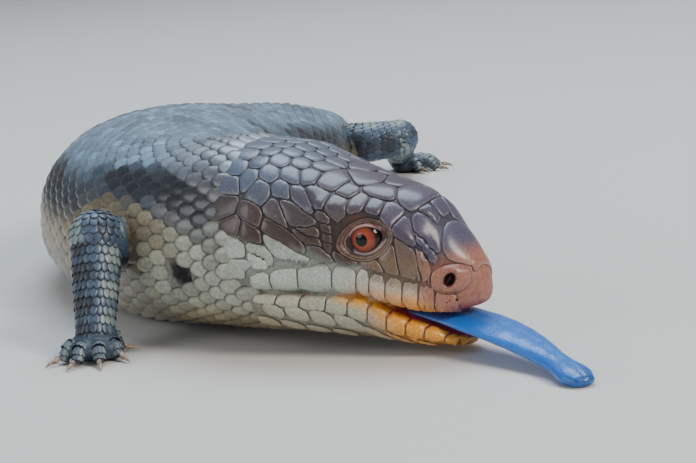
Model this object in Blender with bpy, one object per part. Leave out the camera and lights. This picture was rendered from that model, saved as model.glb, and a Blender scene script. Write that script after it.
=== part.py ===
"""Blue-tongued skink, a still life-size model lying flat with its tongue out.

Metres, +Z up.  The plan is drawn from the snout tip: the head points to +X and a little to -Y,
the trunk runs away to +Y and the tail bends back to -X.  At the end everything is moved so that
the origin is at the bottom centre of the whole animal.
"""

import functools
import math

import bmesh
import bpy
import numpy as np
from mathutils import Matrix, Vector

MM = 0.001
GAP = 0.3 * MM

# Stations of the upper head: distance behind the snout, half width, top, lip line,
# height of the widest part, squareness above and squareness below, lengths in mm.
HEAD_STATIONS = {
    "nose": (1.3, 2.7, 16.8, 10.8, 14.0, 2.4, 2.6),
    "rostral": (2.6, 4.6, 19.6, 10.0, 14.6, 2.2, 3.6),
    "nostril": (5.5, 6.9, 23.8, 9.6, 14.6, 2.2, 6.0),
    "snout": (9.0, 8.8, 28.0, 9.7, 15.0, 2.2, 7.5),
    "lore": (12.0, 10.2, 31.5, 10.0, 15.8, 2.3, 8.0),
    "eye_front": (18.0, 12.5, 34.2, 11.5, 17.6, 2.6, 8.0),
    "eye": (24.0, 14.4, 35.5, 13.5, 19.4, 2.7, 8.0),
    "brow_end": (34.5, 17.8, 38.5, 14.2, 21.2, 2.6, 8.0),
    "jowl": (46.0, 21.2, 42.6, 14.7, 22.0, 2.5, 8.0),
}

# Stations of the lower jaw, in the same terms, with its bottom in place of the lip line.
JAW_STATIONS = {
    "jaw_tip": (4.3, 1.8, 2.9, 1.7, 2.4, 2.6, 2.0),
    "jaw_front": (6.0, 5.0, 4.0, 1.3, 3.0, 3.6, 2.0),
    "chin": (10.7, 8.2, 6.4, 1.3, 5.0, 5.0, 2.0),
    "mid_jaw": (17.4, 11.4, 9.5, 1.4, 7.8, 6.0, 2.0),
    "under_eye": (24.3, 14.0, 13.1, 1.8, 11.1, 7.0, 2.1),
    "under_cheek": (29.5, 15.8, 13.7, 2.2, 11.8, 7.0, 2.15),
    "under_brow": (36.0, 17.8, 13.9, 2.6, 12.0, 7.0, 2.2),
    "jaw_end": (46.0, 20.9, 14.35, 3.0, 12.6, 7.0, 2.2),
}

# Stations of the rear head, neck, trunk and tail, in the same terms.  An underside below
# zero is flattened on the floor.
BODY_STATIONS = {
    "jowl": (46.0, 21.2, 42.6, 3.0, 22.0, 2.5, 2.3),
    "ear": (60.0, 21.0, 43.8, 2.9, 20.5, 2.3, 2.3),
    "nape": (70.0, 20.2, 43.0, 2.2, 19.5, 2.2, 2.3),
    "neck": (79.0, 20.6, 42.0, 1.0, 18.0, 2.2, 2.3),
    "shoulder": (90.0, 23.0, 41.6, -0.3, 17.0, 2.2, 2.4),
    "chest": (110.0, 27.5, 41.4, -1.0, 16.0, 2.2, 2.5),
    "trunk": (140.0, 32.5, 41.0, -1.2, 15.5, 2.2, 2.5),
    "belly": (172.0, 33.5, 38.6, -1.2, 15.0, 2.2, 2.5),
    "flank": (205.0, 30.5, 34.0, -1.0, 13.5, 2.2, 2.5),
    "hip": (238.0, 23.5, 29.5, -0.8, 12.5, 2.2, 2.5),
    "vent": (262.0, 18.0, 25.0, -0.8, 11.0, 2.1, 2.4),
    "tail_base": (285.0, 14.6, 21.0, -0.7, 9.5, 2.0, 2.3),
    "tail_mid": (320.0, 11.2, 16.4, -0.6, 7.5, 2.0, 2.2),
    "tail_rear": (360.0, 7.8, 11.2, -0.5, 5.0, 2.0, 2.2),
    "tail_thin": (395.0, 4.3, 6.4, -0.4, 2.9, 2.0, 2.2),
    "tail_tip": (413.0, 1.5, 2.9, -0.2, 1.3, 2.0, 2.0),
}

# Where the body is parted, in mm behind the snout tip.
JAW_BACK = 46.0
CUTS = {
    "head": 68.0,
    "neck": 86.0,
    "torso_front": 140.0,
    "torso_middle": 198.0,
    "torso_rear": 258.0,
    "tail_base": 305.0,
    "tail_middle": 355.0,
    "tail_end": 413.0,
}

# The way back along the spine, in degrees from +X, at distances in mm behind the snout.
SPINE_HEADINGS = {
    0.0: 145.0,
    55.0: 145.0,
    80.0: 118.0,
    105.0: 100.0,
    130.0: 95.0,
    160.0: 84.0,
    190.0: 72.0,
    220.0: 68.0,
    255.0: 74.0,
    300.0: 92.0,
    340.0: 112.0,
    380.0: 130.0,
    415.0: 140.0,
}

# The eye and the ridge above it, as distance behind the snout, height and side, in mm.
EYE_RADIUS = 4.2
EYE_CENTRE = (22.8, 25.3, 9.7)
EYE_DENT = (22.8, 25.2, 5.2, -1.7)
BROW_FRONT = (12.6, 25.2)
BROW_PEAK = (20.0, 30.6)
BROW_BACK = (31.5, 32.6)
BROW_HEIGHT = 1.5
BROW_WIDTH = 1.5
LID_RING = (3.75, 3.25, 0.62)
JOWL_SWELL = (52.0, 20.0, 9.0, 1.2)

NOSTRIL = (5.9, 16.8, 1.25, 1.6)
EAR = (63.4, 17.4, 2.0, 3.0, 2.6)

# The crown's own middle line, turned a little to the right, and its edges above the brows:
# distances across the skin from the top, in mm, at distances behind the snout.
CROWN_MIDDLE = {0.0: 2.4, 30.0: 2.4, 55.0: 0.0}
CROWN_EDGE = {5.0: 10.0, 12.0: 13.5, 20.0: 14.5, 30.0: 16.0, 46.0: 19.0}

# Raised plates of the crown: distance behind the snout in mm, share of the way from the
# crown's middle to its edge, half length in mm and half width as a share.
CROWN_PLATES = {
    "frontonasal": (5.4, 0.0, 3.4, 0.85),
    "prefrontal": (10.5, 0.52, 2.6, 0.48),
    "frontal": (15.8, 0.0, 3.8, 0.34),
    "front_brow": (14.6, 0.80, 2.3, 0.26),
    "second_brow": (19.2, 0.62, 2.6, 0.26),
    "third_brow": (23.6, 0.72, 2.2, 0.24),
    "last_brow": (28.0, 0.84, 2.6, 0.22),
    "frontoparietal": (22.8, 0.24, 3.2, 0.22),
    "interparietal": (28.2, 0.0, 3.4, 0.24),
    "parietal": (31.0, 0.46, 3.8, 0.26),
    "nuchal": (37.4, 0.24, 3.0, 0.26),
    "outer_nuchal": (37.4, 0.74, 3.0, 0.24),
    "second_nuchal": (43.6, 0.28, 3.0, 0.26),
    "outer_second_nuchal": (43.4, 0.78, 3.0, 0.22),
}

# Raised plates of the side of the head: distance behind the snout, height, half length,
# half height and turn in degrees.
SIDE_PLATES = {
    "nasal": (5.8, 16.4, 3.7, 3.1, 0.0),
    "postnasal": (10.1, 19.8, 1.9, 3.0, 14.0),
    "loreal": (14.2, 20.4, 2.5, 2.9, 10.0),
    "rear_subocular": (26.4, 21.8, 2.6, 1.3, 10.0),
    "long_temporal": (36.6, 30.6, 6.0, 2.0, 18.0),
    "middle_temporal": (38.6, 27.0, 4.4, 1.9, 12.0),
    "pale_temporal": (37.5, 23.0, 4.2, 1.8, 4.0),
    "rear_temporal": (44.8, 24.2, 2.4, 2.4, 0.0),
    "upper_rear_temporal": (45.6, 30.2, 2.6, 2.4, 6.0),
}

# Edges between the plates of each lip, in mm behind the snout, and the height of each plate.
UPPER_LIP_EDGES = (2.4, 5.6, 10.4, 15.2, 20.2, 24.4, 29.2, 36.2, 42.6)
UPPER_LIP_HEIGHTS = (4.0, 4.8, 6.2, 6.6, 6.2, 6.4, 6.5, 4.4)
LOWER_LIP_EDGES = (6.6, 11.6, 16.8, 22.2, 28.4, 35.9, 44.6)
LOWER_LIP_HEIGHTS = (2.6, 3.8, 4.8, 5.0, 3.4, 2.4)
PLATE_SIDES = 6
PLATE_RISE = 0.5
PLATE_ROOT = 0.8
PLATE_JOINT = 0.24
PLATE_SMOOTHING = 3.2

# The tongue's middle line as plan X, Y and height, with half width and half depth, in mm.
TONGUE = {
    "root": ((-23.0, 16.2, 10.9), 6.0, 1.1),
    "inner": ((-13.0, 9.2, 8.7), 6.0, 1.3),
    "mouth": ((-4.0, 2.0, 6.7), 6.2, 1.5),
    "lip": ((1.2, -4.6, 5.6), 5.6, 1.7),
    "slope": ((6.2, -12.8, 4.1), 4.2, 1.8),
    "narrow": ((10.2, -21.0, 2.5), 2.9, 1.8),
    "bulb": ((12.6, -27.0, 1.6), 3.6, 1.9),
    "tip": ((13.7, -29.6, 1.2), 2.6, 1.3),
}

# Joints of the limbs in mm, in plan from the snout tip, and the way the toes point in degrees.
LIMBS = {
    "fore_right": {
        "path": ((-70.0, 54.0, 16.0), (-76.0, 43.0, 19.5), (-83.6, 33.0, 24.6), (-84.6, 24.5, 7.5)),
        "radii": (5.6, 5.2, 6.0, 4.4),
        "toes": (-88.0, 4.5),
        "toe_tips": ((-95.2, 16.4), (-90.0, 11.4), (-82.6, 10.4), (-76.8, 15.0), (-75.6, 26.0)),
    },
    "fore_left": {
        "path": ((-44.0, 68.0, 14.0), (-38.0, 72.0, 14.5), (-27.0, 78.0, 15.6), (-17.0, 70.5, 6.5)),
        "radii": (5.6, 5.2, 5.6, 4.2),
        "toes": (-60.0, 4.5),
        "toe_tips": ((-16.0, 56.5), (-9.8, 57.0), (-4.8, 62.0), (-3.6, 69.0), (-8.4, 77.0)),
    },
    "hind_right": {
        "path": ((-60.0, 214.0, 12.0), (-70.0, 206.0, 14.0), (-83.0, 203.0, 15.4), (-90.0, 220.0, 6.5)),
        "radii": (7.0, 6.4, 5.8, 4.4),
        "toes": (-150.0, 4.8),
        "toe_tips": ((-98.5, 229.0), (-104.6, 224.0), (-106.8, 217.0), (-103.0, 209.5), (-96.0, 206.6)),
    },
    "hind_left": {
        "path": ((-30.0, 224.0, 12.0), (-22.0, 219.0, 13.0), (-10.0, 221.0, 13.4), (-10.0, 238.0, 6.0)),
        "radii": (7.0, 6.4, 5.6, 4.2),
        "toes": (-10.0, 4.8),
        "toe_tips": ((-2.8, 250.4), (3.6, 246.0), (7.2, 239.6), (5.6, 231.8), (-1.0, 227.6)),
    },
}
TOE_RADII = (2.1, 1.9, 1.35)
CLAW_LENGTH = 3.6
CLAW_RADIUS = 0.85

# How finely each surface is drawn.
HEAD_STEP = 2.5
BODY_STEP = 9.0
HEAD_SIDES = 36
JAW_SIDES = 30
BODY_SIDES = 28
LIMB_SIDES = 12
TOE_SIDES = 6

COLOURS = {
    "head_skin": (0.145, 0.090, 0.070, 1.0),
    "jaw_skin": (0.62, 0.36, 0.14, 1.0),
    "body_skin": (0.17, 0.21, 0.24, 1.0),
    "leg_skin": (0.09, 0.13, 0.18, 1.0),
    "tongue": (0.015, 0.19, 0.66, 1.0),
    "eye": (0.36, 0.07, 0.035, 1.0),
    "claw": (0.30, 0.22, 0.16, 1.0),
}


def smooth_curve(keys, values, places):
    """Read a smooth curve through the keys that never swings past them."""
    keys = np.asarray(keys, float)
    values = np.asarray(values, float)
    steps = np.diff(keys)
    rises = np.diff(values) / steps
    slopes = np.zeros(len(keys))
    slopes[0] = rises[0]
    slopes[-1] = rises[-1]
    for i in range(1, len(keys) - 1):
        if rises[i - 1] * rises[i] > 0.0:
            before = 2.0 * steps[i] + steps[i - 1]
            after = steps[i] + 2.0 * steps[i - 1]
            slopes[i] = (before + after) / (before / rises[i - 1] + after / rises[i])
    places = np.clip(np.asarray(places, float), keys[0], keys[-1])
    index = np.clip(np.searchsorted(keys, places, side="right") - 1, 0, len(keys) - 2)
    width = steps[index]
    t = (places - keys[index]) / width
    low = values[index] * (1 + 2 * t) * (1 - t) ** 2 + values[index + 1] * t * t * (3 - 2 * t)
    bend = slopes[index] * width * t * (1 - t) ** 2 - slopes[index + 1] * width * t * t * (1 - t)
    return low + bend


def station_values(stations, place):
    """Read half width, top, bottom, level and both squarenesses at one place, in mm."""
    table = np.array(list(stations.values()))
    return [float(smooth_curve(table[:, 0], table[:, i], place)) for i in range(1, 7)]


def build_spine(step=0.5):
    """Walk back from the snout tip and note the plan point and heading at each step."""
    places = np.arange(0.0, max(CUTS.values()) + 4.0, step)
    headings = np.radians(smooth_curve(list(SPINE_HEADINGS), list(SPINE_HEADINGS.values()), places))
    moves = np.stack([np.cos(headings), np.sin(headings)], axis=1) * step
    points = np.vstack([[0.0, 0.0], np.cumsum(moves[:-1], axis=0)])
    return places, points, headings


SPINE_PLACES, SPINE_POINTS, SPINE_ANGLES = build_spine()


def spine_at(place):
    """Return the plan point, the way back and the way to the animal's right side."""
    x = np.interp(place, SPINE_PLACES, SPINE_POINTS[:, 0])
    y = np.interp(place, SPINE_PLACES, SPINE_POINTS[:, 1])
    angle = np.interp(place, SPINE_PLACES, SPINE_ANGLES)
    back = np.array([math.cos(angle), math.sin(angle), 0.0])
    right = np.array([-math.sin(angle), math.cos(angle), 0.0])
    return np.array([x, y, 0.0]), back, right


def signed_power(value, power):
    return math.copysign(abs(value) ** power, value)


def falloff(distance, width):
    return math.exp(-(distance / width) ** 2)


def distance_to_line(point, start, end):
    start = np.array(start)
    end = np.array(end)
    along = end - start
    t = np.clip(np.dot(np.array(point) - start, along) / np.dot(along, along), 0.0, 1.0)
    return float(np.linalg.norm(np.array(point) - start - t * along))


def head_relief(place, height):
    """Return how far the side of the head stands out at a distance and height, in mm."""
    spot = (place, height)
    ridge = min(distance_to_line(spot, BROW_FRONT, BROW_PEAK),
                distance_to_line(spot, BROW_PEAK, BROW_BACK))
    relief = BROW_HEIGHT * falloff(ridge, BROW_WIDTH)
    for swell_place, swell_height, width, rise in (EYE_DENT, JOWL_SWELL):
        reach = math.hypot(place - swell_place, height - swell_height)
        relief += rise * falloff(reach, width)
    return relief


def section_ring(stations, place, sides, grow=0.0, relief=False, shift=0.0):
    """Return one closed ring of points across the body, from the top round by the right."""
    half, top, bottom, level, up, down = station_values(stations, place)
    point, back, right = spine_at(place)
    centre = point + back * shift
    ring = []
    for i in range(sides):
        angle = 2.0 * math.pi * i / sides
        lift = math.cos(angle)
        power = up if lift > 0.0 else down
        depth = top - level if lift > 0.0 else level - bottom
        side = signed_power(math.sin(angle), 2.0 / power) * (half + grow)
        height = level + signed_power(lift, 2.0 / power) * (depth + grow)
        if relief:
            side *= 1.0 + head_relief(place, height) / max(abs(side), 4.0)
        height = max(height, 0.0)
        ring.append((centre + right * side + np.array([0.0, 0.0, height])) * MM)
    return ring


def loft(rings, nose=None, tail=None):
    """Join rings of equal count into a closed mesh, with a middle point on each end."""
    mesh = bmesh.new()
    rows = [[mesh.verts.new(point) for point in ring] for ring in rings]
    count = len(rows[0])
    for before, after in zip(rows, rows[1:]):
        for i in range(count):
            j = (i + 1) % count
            mesh.faces.new((before[i], before[j], after[j], after[i]))
    for row, middle, turn in ((rows[0], nose, True), (rows[-1], tail, False)):
        if middle is None:
            middle = np.mean([vert.co for vert in row], axis=0)
        hub = mesh.verts.new(middle)
        for i in range(count):
            j = (i + 1) % count
            corner = (row[j], row[i], hub) if turn else (row[i], row[j], hub)
            mesh.faces.new(corner)
    bmesh.ops.recalc_face_normals(mesh, faces=mesh.faces)
    bmesh.ops.triangulate(mesh, faces=mesh.faces)
    return mesh


def places_between(start, end, step):
    count = max(2, int(math.ceil((end - start) / step)) + 1)
    return list(np.linspace(start, end, count))


def make_collection(name):
    collection = bpy.data.collections.new(name)
    bpy.context.scene.collection.children.link(collection)
    return collection


def make_material(name):
    material = bpy.data.materials.new(name)
    material.use_nodes = True
    shader = material.node_tree.nodes["Principled BSDF"]
    shader.inputs["Base Color"].default_value = COLOURS[name.split(".")[0]]
    shader.inputs["Roughness"].default_value = 0.1 if name.startswith("eye") else 0.45
    return material


def add_object(name, mesh, collection, colour):
    """Turn a bmesh into a smooth-shaded object with a material of its own."""
    data = bpy.data.meshes.new(name)
    mesh.to_mesh(data)
    mesh.free()
    data.shade_smooth()
    data.set_sharp_from_angle(angle=math.radians(40.0))
    obj = bpy.data.objects.new(name, data)
    collection.objects.link(obj)
    obj.data.materials.append(make_material(colour + "." + name))
    return obj


def add_cutter(name, mesh, cutters):
    obj = add_object(name, mesh, cutters, "claw")
    obj.hide_render = True
    obj.display_type = "WIRE"
    return obj


def keep_largest(mesh_data):
    """Keep only the closed surface that holds the most volume."""
    mesh = bmesh.new()
    mesh.from_mesh(mesh_data)
    seen = set()
    shells = []
    for face in mesh.faces:
        if face in seen:
            continue
        shell = [face]
        seen.add(face)
        for current in shell:
            for edge in current.edges:
                for other in edge.link_faces:
                    if other not in seen:
                        seen.add(other)
                        shell.append(other)
        shells.append(shell)

    def volume(shell):
        total = 0.0
        for face in shell:
            first = face.verts[0].co
            for a, b in zip(face.verts[1:], face.verts[2:]):
                total += first.dot(a.co.cross(b.co))
        return total

    shells.sort(key=volume, reverse=True)
    spare = [face for shell in shells[1:] for face in shell]
    if spare:
        bmesh.ops.delete(mesh, geom=spare, context="FACES")
    bmesh.ops.triangulate(mesh, faces=mesh.faces)
    bmesh.ops.remove_doubles(mesh, verts=mesh.verts, dist=0.004 * MM)
    bmesh.ops.dissolve_degenerate(mesh, edges=mesh.edges, dist=0.002 * MM)
    bmesh.ops.triangulate(mesh, faces=mesh.faces)
    mesh.to_mesh(mesh_data)
    mesh.free()


def combine(target, others, operation, solver="EXACT"):
    """Apply one Boolean with a collection of closed pieces, then remove those pieces."""
    pieces = make_collection("pieces")
    for other in others:
        for home in list(other.users_collection):
            home.objects.unlink(other)
        pieces.objects.link(other)
    modifier = target.modifiers.new(operation.lower(), "BOOLEAN")
    modifier.operation = operation
    modifier.operand_type = "COLLECTION"
    modifier.collection = pieces
    modifier.solver = solver
    bpy.context.view_layer.update()
    seen = target.evaluated_get(bpy.context.evaluated_depsgraph_get())
    data = bpy.data.meshes.new_from_object(seen)
    target.modifiers.remove(modifier)
    materials = list(target.data.materials)
    target.data = data
    target.data.materials.clear()
    target.data.materials.append(materials[0])
    for other in others:
        bpy.data.objects.remove(other)
    bpy.data.collections.remove(pieces)
    keep_largest(target.data)
    target.data.shade_smooth()
    target.data.set_sharp_from_angle(angle=math.radians(40.0))


def head_mesh():
    """Loft the upper head over the jaw and on, full depth, to the ears."""
    rings = []
    for place in [1.3, 1.9] + places_between(2.6, JAW_BACK + 0.15, HEAD_STEP):
        rings.append(section_ring(HEAD_STATIONS, place, HEAD_SIDES, relief=True))
    end = CUTS["head"]
    for place in places_between(JAW_BACK + GAP / MM + 0.15, end, HEAD_STEP * 1.6):
        shift = -GAP / MM / 2.0 if place == end else 0.0
        rings.append(section_ring(BODY_STATIONS, place, HEAD_SIDES, relief=True, shift=shift))
    point, back, right = spine_at(0.9)
    return loft(rings, nose=(point + np.array([0.0, 0.0, 13.8])) * MM)


def jaw_mesh():
    places = [4.3, 5.0] + places_between(6.0, JAW_BACK - GAP / MM, HEAD_STEP * 1.4)
    rings = [section_ring(JAW_STATIONS, place, JAW_SIDES) for place in places]
    return loft(rings)


def body_mesh(start, end, grow=0.0, sides=BODY_SIDES, step=BODY_STEP):
    """Loft a length of neck, trunk or tail, stopping half a gap short of each cut."""
    rings = []
    places = places_between(start, end, step)
    for place in places:
        shift = 0.0
        if place == places[0]:
            shift = GAP / MM / 2.0
        if place == places[-1] and end < max(CUTS.values()):
            shift = -GAP / MM / 2.0
        rings.append(section_ring(BODY_STATIONS, place, sides, grow=grow, shift=shift))
    return loft(rings)


def tube_mesh(points, widths, depths, sides, flat_floor=True, start_cap=0.5, end_cap=0.5):
    """Loft a round-ended tube along points, with a half width and half depth at each, in mm."""
    points = [np.array(point, float) for point in points]
    rings = []
    last = len(points) - 1
    for i, point in enumerate(points):
        way = points[min(i + 1, last)] - points[max(i - 1, 0)]
        way = way / np.linalg.norm(way)
        side = np.cross(way, (0.0, 0.0, 1.0))
        if np.linalg.norm(side) < 0.3:
            side = np.cross(way, (0.0, 1.0, 0.0))
        side = side / np.linalg.norm(side)
        lift = np.cross(side, way)
        caps = [(0.0, 1.0)]
        if i == 0 and start_cap > 0.0:
            caps = [(-0.92, 0.42), (-0.6, 0.8), (0.0, 1.0)]
        if i == last and end_cap > 0.0:
            caps = [(0.0, 1.0), (0.6, 0.8), (0.92, 0.42)]
        for ahead, share in caps:
            reach = (start_cap if i == 0 else end_cap) * depths[i] * 2.0
            centre = point + way * ahead * reach
            ring = []
            for k in range(sides):
                angle = 2.0 * math.pi * k / sides
                spot = centre + side * math.sin(angle) * widths[i] * share
                spot = spot + lift * math.cos(angle) * depths[i] * share
                if flat_floor:
                    spot[2] = max(spot[2], 0.0)
                ring.append(spot * MM)
            rings.append(ring)
    return loft(rings)


def curve_points(points, values, steps):
    """Round a path of a few points into a smooth one, with the values carried along."""
    points = np.array(points, float)
    lengths = np.concatenate([[0.0], np.cumsum(np.linalg.norm(np.diff(points, axis=0), axis=1))])
    at = np.linspace(0.0, lengths[-1], steps)
    path = np.stack([smooth_curve(lengths, points[:, i], at) for i in range(3)], axis=1)
    carried = [smooth_curve(lengths, column, at) for column in np.array(values, float).T]
    return path, carried


@functools.cache
def half_section(kind, place):
    """Return the side, height and distance across the skin from the top, down one side, in mm."""
    stations, relief = {"head": (HEAD_STATIONS, True), "jaw": (JAW_STATIONS, False),
                        "rear": (BODY_STATIONS, True)}[kind]
    half, top, bottom, level, up, down = station_values(stations, place)
    sides = []
    heights = []
    for angle in np.linspace(0.0, math.pi, 90):
        lift = math.cos(angle)
        power = up if lift > 0.0 else down
        depth = top - level if lift > 0.0 else level - bottom
        side = signed_power(math.sin(angle), 2.0 / power) * half
        height = level + signed_power(lift, 2.0 / power) * depth
        if relief:
            side *= 1.0 + head_relief(place, height) / max(abs(side), 4.0)
        sides.append(side)
        heights.append(height)
    across = np.concatenate([[0.0], np.cumsum(np.hypot(np.diff(sides), np.diff(heights)))])
    return np.array(sides), np.array(heights), across


def length_kind(kind, place):
    return "rear" if kind == "head" and place > JAW_BACK + 0.15 else kind


def skin_point(kind, place, arc):
    """Return the plan point in mm at a distance behind the snout and across from the top."""
    sides, heights, across = half_section(length_kind(kind, place), round(float(place), 1))
    side = math.copysign(np.interp(abs(arc), across, sides), arc)
    point, back, right = spine_at(place)
    return point + right * side + np.array([0.0, 0.0, np.interp(abs(arc), across, heights)])


def skin_normal(kind, place, arc):
    """Return the way outward from the skin at the same kind of spot."""
    along = skin_point(kind, place + 0.8, arc) - skin_point(kind, place - 0.8, arc)
    around = skin_point(kind, place, arc + 0.5) - skin_point(kind, place, arc - 0.5)
    out = np.cross(along, around)
    return -out / np.linalg.norm(out)


def arc_at_height(kind, place, height):
    sides, heights, across = half_section(length_kind(kind, place), round(float(place), 1))
    return float(np.interp(-height, -heights, across))


def plate_distance(plate, place, arc):
    """Return how far a spot is from a plate's middle, in shares of its half sizes."""
    middle_place, middle_arc, long, wide, turn = plate
    ahead = place - middle_place
    aside = arc - middle_arc
    along = (ahead * math.cos(turn) + aside * math.sin(turn)) / long
    across = (aside * math.cos(turn) - ahead * math.sin(turn)) / wide
    return (np.abs(along) ** 2.6 + np.abs(across) ** 2.6) ** (1.0 / 2.6)


def on_plated_skin(place, arc):
    """Tell whether a spot lies above the lip plates and clear of the eye and nostril."""
    sides, heights, across = half_section(length_kind("head", place), round(float(place), 1))
    height = float(np.interp(abs(arc), across, heights))
    middles = [(a + b) / 2.0 for a, b in zip(UPPER_LIP_EDGES, UPPER_LIP_EDGES[1:])]
    lip = station_values(HEAD_STATIONS, min(place, JAW_BACK))[2]
    above = height > lip + float(np.interp(place, middles, UPPER_LIP_HEIGHTS)) + 0.3
    eye = math.hypot((place - EYE_CENTRE[0]) / 5.0, (height - EYE_CENTRE[1]) / 4.2)
    return above and eye > 1.0 and place > 1.4


def plate_outline(plate, others):
    """Walk out from a plate's middle at each angle until another plate is nearer."""
    middle_place, middle_arc, long, wide, turn = plate
    outline = []
    for k in range(PLATE_SIDES):
        angle = 2.0 * math.pi * (k + 0.5) / PLATE_SIDES
        ahead = math.cos(angle) * long
        aside = math.sin(angle) * wide
        way = np.array([ahead * math.cos(turn) - aside * math.sin(turn),
                        ahead * math.sin(turn) + aside * math.cos(turn)])
        reach = 0.4
        for share in np.linspace(0.4, 1.35, 20):
            place, arc = middle_place + way[0] * share, middle_arc + way[1] * share
            own = plate_distance(plate, place, arc)
            nearest = min([plate_distance(other, place, arc) for other in others] + [9.0])
            if own > nearest or not on_plated_skin(place, arc):
                break
            reach = share
        size = np.linalg.norm(way) * reach
        outline.append(np.array([middle_place, middle_arc]) + way * reach * (1.0 - PLATE_JOINT / size))
    return outline


def plate_mesh(kind, outline):
    """Raise one plate over its outline, with its root sunk into the head."""
    middle = np.mean(outline, axis=0)
    rings = []
    for share, lift in ((1.0, -PLATE_ROOT), (0.94, PLATE_RISE)):
        ring = []
        for spot in outline:
            place, arc = middle + (spot - middle) * share
            ring.append((skin_point(kind, place, arc) + skin_normal(kind, place, arc) * lift) * MM)
        rings.append(ring)
    out = skin_normal(kind, middle[0], middle[1])
    point = skin_point(kind, middle[0], middle[1])
    return loft(rings, nose=(point - out * (PLATE_ROOT + 0.2)) * MM, tail=(point + out * (PLATE_RISE + 0.2)) * MM)


def crown_arc(place, share):
    """Turn a share of the way from the crown's middle to an edge into distance across."""
    middle = np.interp(place, list(CROWN_MIDDLE), list(CROWN_MIDDLE.values()))
    edge = np.interp(place, list(CROWN_EDGE), list(CROWN_EDGE.values()))
    return middle + share * (edge - middle if share > 0.0 else edge + middle)


def crown_and_side_plates():
    """List every plate above the lips as place, arc, half length, half width and turn."""
    plates = []
    for place, share, long, wide in CROWN_PLATES.values():
        for sign in (1.0,) if share == 0.0 else (1.0, -1.0):
            inner = crown_arc(place, (share - wide) * sign)
            outer = crown_arc(place, (share + wide) * sign)
            plates.append((place, (inner + outer) / 2.0, long, abs(outer - inner) / 2.0, 0.0))
    for place, height, long, wide, turn in SIDE_PLATES.values():
        arc = arc_at_height("head", place, height)
        for sign in (1.0, -1.0):
            plates.append((place, arc * sign, long, wide, -math.radians(turn) * sign))
    return plates


def lip_outline(kind, before, after, tall, sign):
    """Return the outline of one lip plate, from the mouth up or down the side."""
    outline = []
    corners = [(0.0, 0.0), (1.0, 0.0), (1.0, 1.0), (0.5, 1.08), (0.0, 1.0)]
    before += PLATE_JOINT / 2.0
    after -= PLATE_JOINT / 2.0
    for share, rise in corners:
        place = before + (after - before) * share
        stations = HEAD_STATIONS if kind == "head" else JAW_STATIONS
        half, top, bottom, level, up, down = station_values(stations, place)
        if kind == "head":
            height = bottom + 0.75 + (tall - 0.75) * rise
        else:
            height = top - 0.6 - (tall - 0.6) * rise
        outline.append(np.array([place, arc_at_height(kind, place, height) * sign]))
    return outline


def add_plates(target, kind, part):
    """Raise the large plates on the upper head or the lower jaw."""
    pieces = []
    plates = crown_and_side_plates() if kind == "head" else []
    for plate in plates:
        others = [other for other in plates if other is not plate and abs(other[0] - plate[0]) < 14.0]
        pieces.append(plate_mesh("head", plate_outline(plate, others)))
    edges = UPPER_LIP_EDGES if kind == "head" else LOWER_LIP_EDGES
    heights = UPPER_LIP_HEIGHTS if kind == "head" else LOWER_LIP_HEIGHTS
    for before, after, tall in zip(edges, edges[1:], heights):
        for sign in (1.0, -1.0):
            pieces.append(plate_mesh(kind, lip_outline(kind, before, after, tall, sign)))
    combine(target, [add_object("plate", mesh, part, "head_skin") for mesh in pieces], "UNION")
    merge_flat_faces(target.data, PLATE_SMOOTHING)


def merge_flat_faces(mesh_data, degrees):
    """Join triangles that lie almost in one plane, to keep the count of faces low."""
    mesh = bmesh.new()
    mesh.from_mesh(mesh_data)
    bmesh.ops.dissolve_limit(mesh, angle_limit=math.radians(degrees), verts=mesh.verts, edges=mesh.edges)
    bmesh.ops.triangulate(mesh, faces=mesh.faces)
    mesh.to_mesh(mesh_data)
    mesh.free()


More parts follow.
